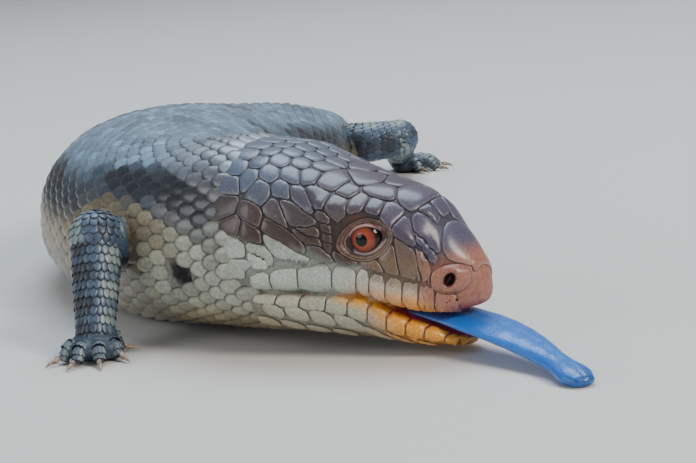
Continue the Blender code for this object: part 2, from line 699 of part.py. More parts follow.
def add_head(part, cutters):
    head = add_object("head", head_mesh(), part, "head_skin")
    extras = []
    cuts = []
    for sign in (1.0, -1.0):
        point, back, right = spine_at(EYE_CENTRE[0])
        right = right * sign
        centre = Vector((point + right * EYE_CENTRE[2]) * MM) + Vector((0, 0, EYE_CENTRE[1] * MM))
        outward = Vector(right)
        turn = Matrix((Vector(back), Vector((0, 0, 1)), outward)).transposed().to_4x4()
        if turn.determinant() < 0.0:
            turn = Matrix((-Vector(back), Vector((0, 0, 1)), outward)).transposed().to_4x4()
        ring_at = Matrix.Translation(centre + outward * 3.0 * MM) @ turn
        lids = bmesh.new()
        long_way, high_way, thick = LID_RING
        circle = [(math.cos(a), math.sin(a)) for a in np.linspace(0, 2 * math.pi, 24, endpoint=False)]
        rows = []
        for c, s in circle:
            row = []
            for k in range(6):
                angle = 2.0 * math.pi * k / 6
                reach = 1.0 + math.cos(angle) * thick / long_way
                spot = Vector((c * long_way * reach, s * high_way * reach, math.sin(angle) * thick))
                row.append(lids.verts.new(ring_at @ (spot * MM)))
            rows.append(row)
        for i in range(len(rows)):
            after = rows[(i + 1) % len(rows)]
            for k in range(6):
                m = (k + 1) % 6
                lids.faces.new((rows[i][k], rows[i][m], after[m], after[k]))
        bmesh.ops.recalc_face_normals(lids, faces=lids.faces)
        extras.append(add_object("lids", lids, part, "head_skin"))
        socket = bmesh.new()
        bmesh.ops.create_uvsphere(socket, u_segments=18, v_segments=9, radius=EYE_RADIUS * MM + GAP)
        bmesh.ops.transform(socket, matrix=Matrix.Translation(centre) @ turn, verts=socket.verts)
        cuts.append(add_cutter("socket", socket, cutters))
        ball = bmesh.new()
        bmesh.ops.create_uvsphere(ball, u_segments=18, v_segments=9, radius=EYE_RADIUS * MM)
        bmesh.ops.transform(ball, matrix=Matrix.Translation(centre) @ turn, verts=ball.verts)
        add_object("eye_right" if sign > 0 else "eye_left", ball, part, "eye")
        cuts.append(pit_cutter("nostril", NOSTRIL[0], NOSTRIL[1], NOSTRIL[2], NOSTRIL[2], NOSTRIL[3],
                               HEAD_STATIONS, sign, cutters))
        cuts.append(pit_cutter("ear_cup", EAR[0], EAR[1], EAR[2], EAR[3], EAR[4],
                               BODY_STATIONS, sign, cutters))
    combine(head, extras, "UNION")
    add_plates(head, "head", part)
    combine(head, cuts, "DIFFERENCE")
    return head


def pit_cutter(name, place, height, long_radius, high_radius, depth, stations, sign, cutters):
    """Make an oval ball sunk into the side of the head, to cut a nostril or the cup of an ear."""
    half, top, bottom, level, up, down = station_values(stations, place)
    reach = (height - level) / ((top - level) if height > level else (level - bottom))
    power = up if height > level else down
    side = half * (1.0 - abs(reach) ** power) ** (1.0 / power)
    point, back, right = spine_at(place)
    centre = (point + right * sign * side + np.array([0.0, 0.0, height])) * MM
    ball = bmesh.new()
    bmesh.ops.create_uvsphere(ball, u_segments=14, v_segments=8, radius=MM)
    frame = Matrix((Vector(back), Vector(right * sign), Vector((0, 0, 1)))).transposed().to_4x4()
    size = Matrix.Diagonal((long_radius, depth, high_radius, 1.0))
    bmesh.ops.transform(ball, matrix=Matrix.Translation(Vector(centre)) @ frame @ size, verts=ball.verts)
    bmesh.ops.recalc_face_normals(ball, faces=ball.faces)
    return add_cutter(name, ball, cutters)


def tongue_mesh(grow=0.0):
    points = [entry[0] for entry in TONGUE.values()]
    sizes = [(entry[1] + grow, entry[2] + grow) for entry in TONGUE.values()]
    path, (widths, depths) = curve_points(points, sizes, 20)
    return tube_mesh(path, widths, depths, 12)


def add_mouth(part, cutters, head):
    """Add the lower jaw and the tongue, and hollow jaw and palate to fit the tongue."""
    jaw = add_object("lower_jaw", jaw_mesh(), part, "jaw_skin")
    add_plates(jaw, "jaw", part)
    add_object("tongue", tongue_mesh(), part, "tongue")
    for piece in (jaw, head):
        space = add_cutter("tongue_space", tongue_mesh(GAP / MM), cutters)
        combine(piece, [space], "DIFFERENCE")


def limb_tube(points, radii, start_cap, end_cap, grow=0.0):
    """Loft one length of a limb, thickened by a small amount where it serves as a cutter."""
    path, (sizes,) = curve_points(points, [[radius + grow] for radius in radii], 6)
    return tube_mesh(path, sizes, sizes, LIMB_SIDES, False, start_cap, end_cap)


def split_limb(name, plan, part, cutters):
    """Build the upper length with a round elbow or knee, and the lower length cupped over it."""
    root, middle, elbow, wrist = [np.array(point) for point in plan["path"]]
    root_radius, middle_radius, elbow_radius, wrist_radius = plan["radii"]
    way = (wrist - elbow) / np.linalg.norm(wrist - elbow)
    upper_plan = ((root, middle, elbow), (root_radius, middle_radius, elbow_radius))
    lower_plan = ((elbow, elbow * 0.5 + wrist * 0.5, wrist),
                  (elbow_radius * 0.97, elbow_radius * 0.5 + wrist_radius * 0.5, wrist_radius))
    upper = add_object(name + "_upper", limb_tube(*upper_plan, 0.5, 0.5), part, "leg_skin")
    lower = add_object(name + "_lower", limb_tube(*lower_plan, 0.5, 0.0), part, "leg_skin")
    clear = add_cutter("upper_space", limb_tube(*upper_plan, 0.5, 0.5, GAP / MM), cutters)
    combine(lower, [clear], "DIFFERENCE")
    longer = ((elbow, elbow * 0.5 + wrist * 0.5, wrist + way * GAP / MM), lower_plan[1])
    space = add_cutter("limb_space", limb_tube(*longer, 0.5, 0.0, GAP / MM), cutters)
    return upper, lower, space, wrist, way, wrist_radius


def floor_cutter(cutters):
    """Make a slab whose top is the floor, to give a foot its flat sole."""
    slab = bmesh.new()
    bmesh.ops.create_cube(slab, size=1.0)
    below = Matrix.Translation((0.0, 0.1, -0.01)) @ Matrix.Diagonal((0.6, 1.0, 0.02, 1.0))
    bmesh.ops.transform(slab, matrix=below, verts=slab.verts)
    return add_cutter("floor_slab", slab, cutters)


def add_foot(name, plan, part, cutters, space, wrist, way, radius):
    """Build the palm with its five toes, and a claw ahead of each toe."""
    heading, reach = plan["toes"]
    ahead = np.array([math.cos(math.radians(heading)), math.sin(math.radians(heading)), 0.0])
    way = way / np.linalg.norm(way)
    side = np.cross(ahead, (0.0, 0.0, 1.0))
    start = wrist + way * (GAP / MM + 0.02)
    ankle = tube_mesh((start, start + way * 4.0), (radius * 1.02, radius * 0.95),
                      (radius * 1.02, radius * 0.95), LIMB_SIDES, flat_floor=False, start_cap=0.0)
    palm = add_object(name + "_foot", ankle, part, "leg_skin")
    knuckles = np.array([wrist[0], wrist[1], 2.2]) + ahead * reach
    pad = bmesh.new()
    bmesh.ops.create_uvsphere(pad, u_segments=14, v_segments=8, radius=MM)
    middle = np.array([wrist[0], wrist[1], 2.4]) * 0.45 + knuckles * 0.55
    frame = Matrix((Vector(ahead), Vector(side), Vector((0, 0, 1)))).transposed().to_4x4()
    size = Matrix.Diagonal((reach * 0.5 + 3.2, radius * 1.35, 3.3, 1.0))
    place = Matrix.Translation(Vector(middle * MM))
    bmesh.ops.transform(pad, matrix=place @ frame @ size, verts=pad.verts)
    bmesh.ops.recalc_face_normals(pad, faces=pad.faces)
    pad = add_object("pad", pad, part, "leg_skin")
    toes = []
    for i, tip in enumerate(plan["toe_tips"]):
        tip = np.array([tip[0], tip[1], 1.0])
        root = np.array([wrist[0], wrist[1], 2.4]) * 0.78 + np.array([tip[0], tip[1], 2.4]) * 0.22
        aim = (tip - root) / np.linalg.norm(tip - root)
        claw_root = tip - aim * CLAW_LENGTH
        bend = root * 0.45 + claw_root * 0.55 + np.array([0.0, 0.0, 1.5])
        end = claw_root - aim * TOE_RADII[2] * 0.95
        end[2] = TOE_RADII[2] * 0.9
        path, (sizes,) = curve_points((root, bend, end), [[size] for size in TOE_RADII], 5)
        toe = tube_mesh(path, sizes, sizes, TOE_SIDES, flat_floor=False)
        toes.append(add_object("toe", toe, part, "leg_skin"))
        claw_start = end + aim * (TOE_RADII[2] + GAP / MM)
        claw_start[2] = CLAW_RADIUS + 0.35
        rings = []
        for share, size in ((0.0, 1.0), (0.35, 0.82), (0.7, 0.5), (1.0, 0.16)):
            centre = claw_start + (tip - claw_start) * share
            centre[2] = claw_start[2] + 0.35 * math.sin(math.pi * share) - 0.95 * share
            across = np.cross(aim, (0.0, 0.0, 1.0))
            across = across / np.linalg.norm(across)
            ring = []
            for k in range(8):
                angle = 2.0 * math.pi * k / 8
                spot = centre + across * math.sin(angle) * CLAW_RADIUS * size * 0.8
                spot = spot + np.array([0.0, 0.0, math.cos(angle) * CLAW_RADIUS * size])
                spot[2] = max(spot[2], 0.0)
                ring.append(spot * MM)
            rings.append(ring)
        add_object(name + "_claw_%d" % (i + 1), loft(rings), part, "claw")
    combine(palm, [pad] + toes, "UNION")
    combine(palm, [floor_cutter(cutters), space], "DIFFERENCE")


def add_limbs(part, cutters):
    for name, plan in LIMBS.items():
        upper, lower, space, wrist, way, radius = split_limb(name, plan, part, cutters)
        body = body_mesh(50.0, 330.0, grow=GAP / MM, step=4.0)
        combine(upper, [add_cutter("body_space", body, cutters)], "DIFFERENCE")
        body = body_mesh(50.0, 330.0, grow=GAP / MM, step=4.0)
        combine(lower, [add_cutter("body_space", body, cutters)], "DIFFERENCE")
        add_foot(name, plan, part, cutters, space, wrist, way, radius)


def add_body(part):
    names = list(CUTS)
    for before, name in zip(names, names[1:]):
        add_object(name, body_mesh(CUTS[before], CUTS[name]), part, "body_skin")


def centre_on_floor(part):
    """Move everything so that the origin is at the bottom centre of the whole animal."""
    corners = np.array([vert.co for obj in part.objects for vert in obj.data.vertices])
    low = corners.min(axis=0)
    high = corners.max(axis=0)
    shift = Vector((-(low[0] + high[0]) / 2, -(low[1] + high[1]) / 2, -low[2]))
    for obj in part.objects:
        obj.data.transform(Matrix.Translation(shift))


def main():
    for obj in list(bpy.data.objects):
        bpy.data.objects.remove(obj)
    part = make_collection("blue_tongued_skink")
    cutters = make_collection("cutters")
    head = add_head(part, cutters)
    add_mouth(part, cutters, head)
    add_body(part)
    add_limbs(part, cutters)
    centre_on_floor(part)


main()
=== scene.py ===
"""Blue-tongued skink: skin, head plates, scales, eyes, mouth, tongue and claws."""

import math

import bmesh
import bpy
import numpy as np
from bpy.props import FloatProperty, FloatVectorProperty, IntProperty, PointerProperty
from mathutils import Matrix, Vector


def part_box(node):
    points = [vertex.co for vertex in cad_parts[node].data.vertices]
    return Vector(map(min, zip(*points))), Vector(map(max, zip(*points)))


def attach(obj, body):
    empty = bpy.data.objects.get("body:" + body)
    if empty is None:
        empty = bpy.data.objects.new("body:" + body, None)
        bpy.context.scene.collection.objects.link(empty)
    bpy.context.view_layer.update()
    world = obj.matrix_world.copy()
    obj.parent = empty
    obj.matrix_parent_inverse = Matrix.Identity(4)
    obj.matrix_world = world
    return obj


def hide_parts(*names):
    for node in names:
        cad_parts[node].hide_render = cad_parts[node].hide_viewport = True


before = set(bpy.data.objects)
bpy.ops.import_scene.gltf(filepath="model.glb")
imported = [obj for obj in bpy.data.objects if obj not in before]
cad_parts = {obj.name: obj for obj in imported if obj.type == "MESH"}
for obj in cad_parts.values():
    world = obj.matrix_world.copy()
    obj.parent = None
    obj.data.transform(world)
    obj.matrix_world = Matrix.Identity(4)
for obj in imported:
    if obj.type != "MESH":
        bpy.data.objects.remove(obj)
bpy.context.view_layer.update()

bl_info = {
    "name": "Blue-tongued skink",
    "version": (1, 0, 0),
    "blender": (4, 5, 0),
    "location": "View3D > Sidebar > Skink",
    "description": "Builds the skin, plates and scales of a life-size blue-tongued skink",
    "category": "Object",
}

MM = 0.001

# The forms of head, jaw and body in mm. Columns: distance behind the snout along the spine, half
# width, top, bottom, height of the widest spot, and squareness above and below that spot.
HEAD_STATIONS = (
    (1.3, 2.7, 16.8, 10.8, 14.0, 2.4, 2.6),
    (2.6, 4.6, 19.6, 10.0, 14.6, 2.2, 3.6),
    (5.5, 6.9, 23.8, 9.6, 14.6, 2.2, 6.0),
    (9.0, 8.8, 28.0, 9.7, 15.0, 2.2, 7.5),
    (12.0, 10.2, 31.5, 10.0, 15.8, 2.3, 8.0),
    (18.0, 12.5, 34.2, 11.5, 17.6, 2.6, 8.0),
    (24.0, 14.4, 35.5, 13.5, 19.4, 2.7, 8.0),
    (34.5, 17.8, 38.5, 14.2, 21.2, 2.6, 8.0),
    (46.0, 21.2, 42.6, 14.7, 22.0, 2.5, 8.0),
)
JAW_STATIONS = (
    (4.3, 1.8, 2.9, 1.7, 2.4, 2.6, 2.0),
    (6.0, 5.0, 4.0, 1.3, 3.0, 3.6, 2.0),
    (10.7, 8.2, 6.4, 1.3, 5.0, 5.0, 2.0),
    (17.4, 11.4, 9.5, 1.4, 7.8, 6.0, 2.0),
    (24.3, 14.0, 13.1, 1.8, 11.1, 7.0, 2.1),
    (29.5, 15.8, 13.7, 2.2, 11.8, 7.0, 2.15),
    (36.0, 17.8, 13.9, 2.6, 12.0, 7.0, 2.2),
    (46.0, 20.9, 14.35, 3.0, 12.6, 7.0, 2.2),
)
BODY_STATIONS = (
    (46.0, 21.2, 42.6, 3.0, 22.0, 2.5, 2.3),
    (60.0, 21.0, 43.8, 2.9, 20.5, 2.3, 2.3),
    (70.0, 20.2, 43.0, 2.2, 19.5, 2.2, 2.3),
    (79.0, 20.6, 42.0, 1.0, 18.0, 2.2, 2.3),
    (90.0, 23.0, 41.6, -0.3, 17.0, 2.2, 2.4),
    (110.0, 27.5, 41.4, -1.0, 16.0, 2.2, 2.5),
    (140.0, 32.5, 41.0, -1.2, 15.5, 2.2, 2.5),
    (172.0, 33.5, 38.6, -1.2, 15.0, 2.2, 2.5),
    (205.0, 30.5, 34.0, -1.0, 13.5, 2.2, 2.5),
    (238.0, 23.5, 29.5, -0.8, 12.5, 2.2, 2.5),
    (262.0, 18.0, 25.0, -0.8, 11.0, 2.1, 2.4),
    (285.0, 14.6, 21.0, -0.7, 9.5, 2.0, 2.3),
    (320.0, 11.2, 16.4, -0.6, 7.5, 2.0, 2.2),
    (360.0, 7.8, 11.2, -0.5, 5.0, 2.0, 2.2),
    (395.0, 4.3, 6.4, -0.4, 2.9, 2.0, 2.2),
    (413.0, 1.5, 2.9, -0.2, 1.3, 2.0, 2.0),
)
# Which way the spine leads in plan, in degrees, at distances behind the snout.
SPINE_HEADINGS = (
    (0.0, 145.0), (55.0, 145.0), (80.0, 118.0), (105.0, 100.0), (130.0, 95.0), (160.0, 84.0),
    (190.0, 72.0), (220.0, 68.0), (255.0, 74.0), (300.0, 92.0), (340.0, 112.0), (380.0, 130.0),
    (415.0, 140.0),
)
EYE_RADIUS = 4.2
# Spots on the side of the head: distance behind the snout and height. The eye's middle also has its
# distance to the side, and the eye's dent and the jowl's swell have their width and rise.
EYE_CENTRE = (22.8, 25.3, 9.7)
EYE_DENT = (22.8, 25.2, 5.2, -1.7)
BROW_LINE = ((12.6, 25.2), (20.0, 30.6), (31.5, 32.6))
BROW_HEIGHT = 1.5
BROW_WIDTH = 1.5
JOWL_SWELL = (52.0, 20.0, 9.0, 1.2)
NOSTRIL = (5.9, 16.8)
EAR = (63.4, 17.4)
# The tongue's middle line in plan, with its half width and half depth there.
TONGUE = (
    ((-23.0, 16.2, 10.9), 6.0, 1.1),
    ((-13.0, 9.2, 8.7), 6.0, 1.3),
    ((-4.0, 2.0, 6.7), 6.2, 1.5),
    ((1.2, -4.6, 5.6), 5.6, 1.7),
    ((6.2, -12.8, 4.1), 4.2, 1.8),
    ((10.2, -21.0, 2.5), 2.9, 1.8),
    ((12.6, -27.0, 1.6), 3.6, 1.9),
    ((13.7, -29.6, 1.2), 2.6, 1.3),
)
# Each limb: four points from its root to the wrist or ankle, the radii there, the foot's heading in
# degrees and its reach, and the tips of the toes in plan.
LIMBS = {
    "fore_right": (((-70.0, 54.0, 16.0), (-76.0, 43.0, 19.5), (-83.6, 33.0, 24.6), (-84.6, 24.5, 7.5)),
                   (5.6, 5.2, 6.0, 4.4), (-88.0, 4.5),
                   ((-95.2, 16.4), (-90.0, 11.4), (-82.6, 10.4), (-76.8, 15.0), (-75.6, 26.0))),
    "fore_left": (((-44.0, 68.0, 14.0), (-38.0, 72.0, 14.5), (-27.0, 78.0, 15.6), (-17.0, 70.5, 6.5)),
                  (5.6, 5.2, 5.6, 4.2), (-60.0, 4.5),
                  ((-16.0, 56.5), (-9.8, 57.0), (-4.8, 62.0), (-3.6, 69.0), (-8.4, 77.0))),
    "hind_right": (((-60.0, 214.0, 12.0), (-70.0, 206.0, 14.0), (-83.0, 203.0, 15.4), (-90.0, 220.0, 6.5)),
                   (7.0, 6.4, 5.8, 4.4), (-150.0, 4.8),
                   ((-98.5, 229.0), (-104.6, 224.0), (-106.8, 217.0), (-103.0, 209.5), (-96.0, 206.6))),
    "hind_left": (((-30.0, 224.0, 12.0), (-22.0, 219.0, 13.0), (-10.0, 221.0, 13.4), (-10.0, 238.0, 6.0)),
                  (7.0, 6.4, 5.6, 4.2), (-10.0, 4.8),
                  ((-2.8, 250.4), (3.6, 246.0), (7.2, 239.6), (5.6, 231.8), (-1.0, 227.6))),
}
TOE_RADII = (2.1, 1.9, 1.35)
CLAW_LENGTH = 3.6
HEAD_START = 1.3
HEAD_END = 46.0
BODY_END = 413.0
# How finely a table is read along the animal, and how many plan points are placed at once.
GRID_STEP = 0.2
CHUNK = 4000
NO_FLOOR = -9.0
# The line between the lips: distances behind the snout and heights.
MOUTH_LINE = ((4.0, 6.0, 10.7, 17.4, 24.3, 34.0, 46.0), (3.0, 4.2, 6.6, 9.8, 13.4, 14.0, 14.5))

FLESH_NODES = ["head", "lower_jaw", "neck", "torso_front", "torso_middle", "torso_rear",
               "tail_base", "tail_middle", "tail_end"]
for limb in LIMBS:
    FLESH_NODES += [limb + "_upper", limb + "_lower", limb + "_foot"]


# Reading the body's shape

def smooth_curve(keys, values, places):
    """Read a smooth curve through the keys that never swings past them."""
    keys = np.asarray(keys, float)
    values = np.asarray(values, float)
    steps = np.diff(keys)
    rises = np.diff(values) / steps
    slopes = np.zeros(len(keys))
    slopes[0] = rises[0]
    slopes[-1] = rises[-1]
    for i in range(1, len(keys) - 1):
        if rises[i - 1] * rises[i] > 0.0:
            before = 2.0 * steps[i] + steps[i - 1]
            after = steps[i] + 2.0 * steps[i - 1]
            slopes[i] = (before + after) / (before / rises[i - 1] + after / rises[i])
    places = np.clip(np.asarray(places, float), keys[0], keys[-1])
    index = np.clip(np.searchsorted(keys, places, side="right") - 1, 0, len(keys) - 2)
    width = steps[index]
    t = (places - keys[index]) / width
    low = values[index] * (1 + 2 * t) * (1 - t) ** 2 + values[index + 1] * t * t * (3 - 2 * t)
    bend = slopes[index] * width * t * (1 - t) ** 2 - slopes[index + 1] * width * t * t * (1 - t)
    return low + bend


class Length:
    """One length of the animal, read by distance behind the snout and angle from the top."""

    def __init__(self, stations, relief):
        table = np.array(stations)
        self.start = table[0, 0]
        self.end = table[-1, 0]
        self.grid = np.arange(self.start, self.end + GRID_STEP, GRID_STEP)
        self.values = [smooth_curve(table[:, 0], column, self.grid) for column in table.T[1:]]
        self.relief = relief
        self.angles = np.linspace(0.0, math.pi, 241)
        self.arcs = []
        for row in np.arange(self.start, self.end + 1.0, 1.0):
            side, height = self.section(np.full(len(self.angles), row), self.angles, 0.0)
            step = np.hypot(np.diff(side), np.diff(height))
            self.arcs.append(np.concatenate([[0.0], np.cumsum(step)]))

    def read(self, place):
        place = np.clip(place, self.start, self.end)
        return [np.interp(place, self.grid, values) for values in self.values]

    def section(self, place, angle, grow):
        """Return side and height in mm for distances and angles, thickened by grow."""
        half, top, bottom, level, up, down = self.read(place)
        lift = np.cos(angle)
        turn = np.sin(angle)
        power = np.where(lift > 0.0, up, down)
        depth = np.where(lift > 0.0, top - level, level - bottom)
        side = bulge(turn, 2.0 / power) * (half + grow)
        height = level + bulge(lift, 2.0 / power) * (depth + grow)
        if self.relief:
            raised = head_relief(place, height)
            side = side * (1.0 + raised / np.maximum(np.abs(side), 4.0))
        return side, height

    def point(self, place, angle, grow, floor):
        """Return plan points in mm on the surface, none lower than the floor."""
        place = np.asarray(place, float)
        side, height = self.section(place, np.asarray(angle, float), grow)
        x, y, _, right = spine(place)
        return np.stack([x + right[0] * side, y + right[1] * side, np.maximum(height, floor)], axis=-1)

    def frame_at(self, place, angle, grow):
        """Return point, way back along the skin, way across and outward normal."""
        point = self.point(place, angle, grow, NO_FLOOR)
        along = (self.point(place + 0.35, angle, grow, NO_FLOOR)
                 - self.point(place - 0.35, angle, grow, NO_FLOOR))
        across = (self.point(place, angle + 0.02, grow, NO_FLOOR)
                  - self.point(place, angle - 0.02, grow, NO_FLOOR))
        out = unit(np.cross(along, across))
        x, y = spine(place)[:2]
        centre = np.stack([x, y, self.read(place)[3]], axis=-1)
        flip = np.sign(np.sum(out * (point - centre), axis=-1))
        out = out * flip[..., None]
        back = unit(along - out * np.sum(along * out, axis=-1)[..., None])
        return point, back, np.cross(back, out), out

    def arcs_at(self, place):
        """Distances across the skin from the top midline, one for each of the angles."""
        return self.arcs[min(max(int(round(place - self.start)), 0), len(self.arcs) - 1)]

    def angle_of(self, place, arc):
        """Turn a distance across the skin from the top midline into an angle."""
        place = np.atleast_1d(np.asarray(place, float))
        arc = np.atleast_1d(np.asarray(arc, float))
        found = np.zeros(len(place))
        for i in range(len(place)):
            found[i] = math.copysign(np.interp(abs(arc[i]), self.arcs_at(place[i]), self.angles), arc[i])
        return found

    def arc_of(self, place, angle):
        return float(np.interp(abs(angle), self.angles, self.arcs_at(place)))

    def around(self, place):
        return 2.0 * self.arcs_at(place)[-1]


def unit(vectors):
    return vectors / np.maximum(np.linalg.norm(vectors, axis=-1, keepdims=True), 1e-12)


def bulge(values, power):
    """Raise to a power and keep the sign: a power under 1 squares a round form."""
    return np.sign(values) * np.abs(values) ** power


def circle(count):
    """Angles evenly round a circle."""
    return np.linspace(0.0, 2.0 * math.pi, count, endpoint=False)


def path_lengths(points):
    """How far along a path each of its points lies."""
    return np.concatenate([[0.0], np.cumsum(np.linalg.norm(np.diff(points, axis=0), axis=1))])


def side_and_lift(way):
    """Two ways square to a way: level where that can be, and up from it."""
    side = np.cross(way, (0.0, 0.0, 1.0))
    if np.linalg.norm(side) < 0.3:
        side = np.cross(way, (0.0, 1.0, 0.0))
    side = side / np.linalg.norm(side)
    return side, np.cross(side, way)


def segment_distance(px, py, start, end):
    ax, ay = start
    dx, dy = end[0] - ax, end[1] - ay
    t = np.clip(((px - ax) * dx + (py - ay) * dy) / (dx * dx + dy * dy), 0.0, 1.0)
    return np.hypot(px - ax - dx * t, py - ay - dy * t)


def head_relief(place, height):
    """Return how far the side of the head stands out, in mm: the brow, eye dent and jowl."""
    ridge = np.minimum(segment_distance(place, height, BROW_LINE[0], BROW_LINE[1]),
                       segment_distance(place, height, BROW_LINE[1], BROW_LINE[2]))
    relief = BROW_HEIGHT * np.exp(-(ridge / BROW_WIDTH) ** 2)
    for swell_place, swell_height, width, rise in (EYE_DENT, JOWL_SWELL):
        reach = np.hypot(place - swell_place, height - swell_height)
        relief = relief + rise * np.exp(-(reach / width) ** 2)
    return relief


def walk_spine():
    places = np.arange(0.0, BODY_END + 4.0, 0.5)
    table = np.array(SPINE_HEADINGS)
    angles = np.radians(smooth_curve(table[:, 0], table[:, 1], places))
    moves = np.stack([np.cos(angles), np.sin(angles)], axis=1) * 0.5
    points = np.vstack([[0.0, 0.0], np.cumsum(moves[:-1], axis=0)])
    return places, points, angles


SPINE_PLACES, SPINE_POINTS, SPINE_ANGLES = walk_spine()


def spine(place):
    """Return the spine's x and y in plan, the way back along it and the way to its right."""
    x = np.interp(place, SPINE_PLACES, SPINE_POINTS[:, 0])
    y = np.interp(place, SPINE_PLACES, SPINE_POINTS[:, 1])
    angle = np.interp(place, SPINE_PLACES, SPINE_ANGLES)
    back = (np.cos(angle), np.sin(angle))
    right = (-np.sin(angle), np.cos(angle))
    return x, y, back, right


HEAD = Length(HEAD_STATIONS, True)
JAW = Length(JAW_STATIONS, False)
BODY = Length(BODY_STATIONS, True)
# The dark band along each side: distances behind the snout and distances across from the top.
BAND_PLACES = (52.0, 57.0, 65.0, 73.0, 85.0, 95.0, 105.0, 120.0, 180.0, 250.0, 300.0, 412.0)
BAND_ARCS = (28.0, 26.0, 20.5, 18.0, 18.0, 23.0, 28.0, 31.0, 33.0, 24.0, 15.0, 5.0)
BAND_TURNS = [float(BODY.angle_of(place, arc)) for place, arc in zip(BAND_PLACES, BAND_ARCS)]
LENGTHS = {"head": HEAD, "jaw": JAW, "body": BODY}


def find_shift():
    """Find where the snout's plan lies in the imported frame, from the right eye."""
    low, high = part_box("eye_right")
    seen = (Vector(low) + Vector(high)) / 2.0
    x, y, _, right = spine(EYE_CENTRE[0])
    planned = Vector((x + right[0] * EYE_CENTRE[2], y + right[1] * EYE_CENTRE[2], EYE_CENTRE[1])) * MM
    return np.array(seen - planned)


SHIFT = find_shift()


def to_world(points):
    return np.asarray(points) * MM + SHIFT


def along_spine(points, stations):
    """Return each plan point's nearest station, and how far to the right of the spine it lies."""
    sx, sy = spine(stations)[:2]
    place = np.zeros(len(points))
    for first in range(0, len(points), CHUNK):
        chunk = points[first:first + CHUNK]
        near = np.argmin((chunk[:, 0, None] - sx) ** 2 + (chunk[:, 1, None] - sy) ** 2, axis=1)
        place[first:first + CHUNK] = stations[near]
    x, y, _, right = spine(place)
    return place, (points[:, 0] - x) * right[0] + (points[:, 1] - y) * right[1]


def inside_body(points, margin):
    """Tell which plan points lie inside the neck, trunk or tail."""
    place, side = along_spine(points, np.arange(HEAD_END, 412.0, 2.0))
    half, top, bottom, level, up, down = BODY.read(place)
    rise = points[:, 2] - level
    power = np.where(rise > 0.0, up, down)
    depth = np.where(rise > 0.0, top - level, level - bottom)
    share = (np.abs(side) / (half + margin)) ** power + (np.abs(rise) / (depth + margin)) ** power
    return share < 1.0


# Colours of the living animal, with painted shade and painted sky reflection among them

def mix(a, b, share):
    share = np.clip(np.asarray(share, float), 0.0, 1.0)[..., None]
    return np.asarray(a) * (1.0 - share) + np.asarray(b) * share


def step_between(low, high, value):
    t = np.clip((np.asarray(value, float) - low) / (high - low), 0.0, 1.0)
    return t * t * (3.0 - 2.0 * t)


def wave_noise(a, b, seed, size):
    """Return a soft repeatable noise from -1 to 1 over two lengths in mm."""
    chance = np.random.default_rng(seed)
    total = np.zeros(np.shape(a))
    for _ in range(7):
        way = chance.uniform(0.0, 2.0 * math.pi)
        pitch = 2.0 * math.pi / (size * chance.uniform(0.7, 1.6))
        start = chance.uniform(0.0, 2.0 * math.pi)
        bend = chance.uniform(-1.0, 1.0) * 0.6
        total = total + np.sin((a * math.cos(way) + b * math.sin(way)) * pitch + start
                               + bend * np.sin(b * pitch * 0.7 + start))
    return total / 4.0


# Colours as red, green and blue shares of light.
BACK_GREY = (0.14, 0.22, 0.31)
# Pale blue of the back: partly its pale patches, partly painted sky reflection on the glossy scales.
BACK_PALE_AND_SHEEN = (0.30, 0.46, 0.62)
BACK_DARK = (0.035, 0.040, 0.050)
BAND_DARK = (0.012, 0.015, 0.024)
FLANK_TAN = (0.21, 0.165, 0.085)
BELLY_PALE = (0.42, 0.40, 0.30)
NECK_PALE = (0.40, 0.41, 0.32)
THROAT_TAN = (0.34, 0.25, 0.12)
LEG_SLATE = (0.075, 0.12, 0.19)
LEG_DARK = (0.020, 0.028, 0.045)
LEG_PALE = (0.30, 0.38, 0.36)
HEAD_BROWN = (0.080, 0.044, 0.032)
HEAD_MAUVE = (0.088, 0.070, 0.125)
LIP_CREAM = (0.50, 0.54, 0.46)
LIP_ORANGE = (0.90, 0.38, 0.085)
SNOUT_SALMON = (0.42, 0.17, 0.11)
CHIN_ORANGE = (0.95, 0.40, 0.040)
CHIN_CREAM = (0.52, 0.50, 0.36)
MOUTH_RED = (0.62, 0.07, 0.09)
# Painted shade inside the ear opening.
EAR_SHADE = (0.022, 0.016, 0.018)


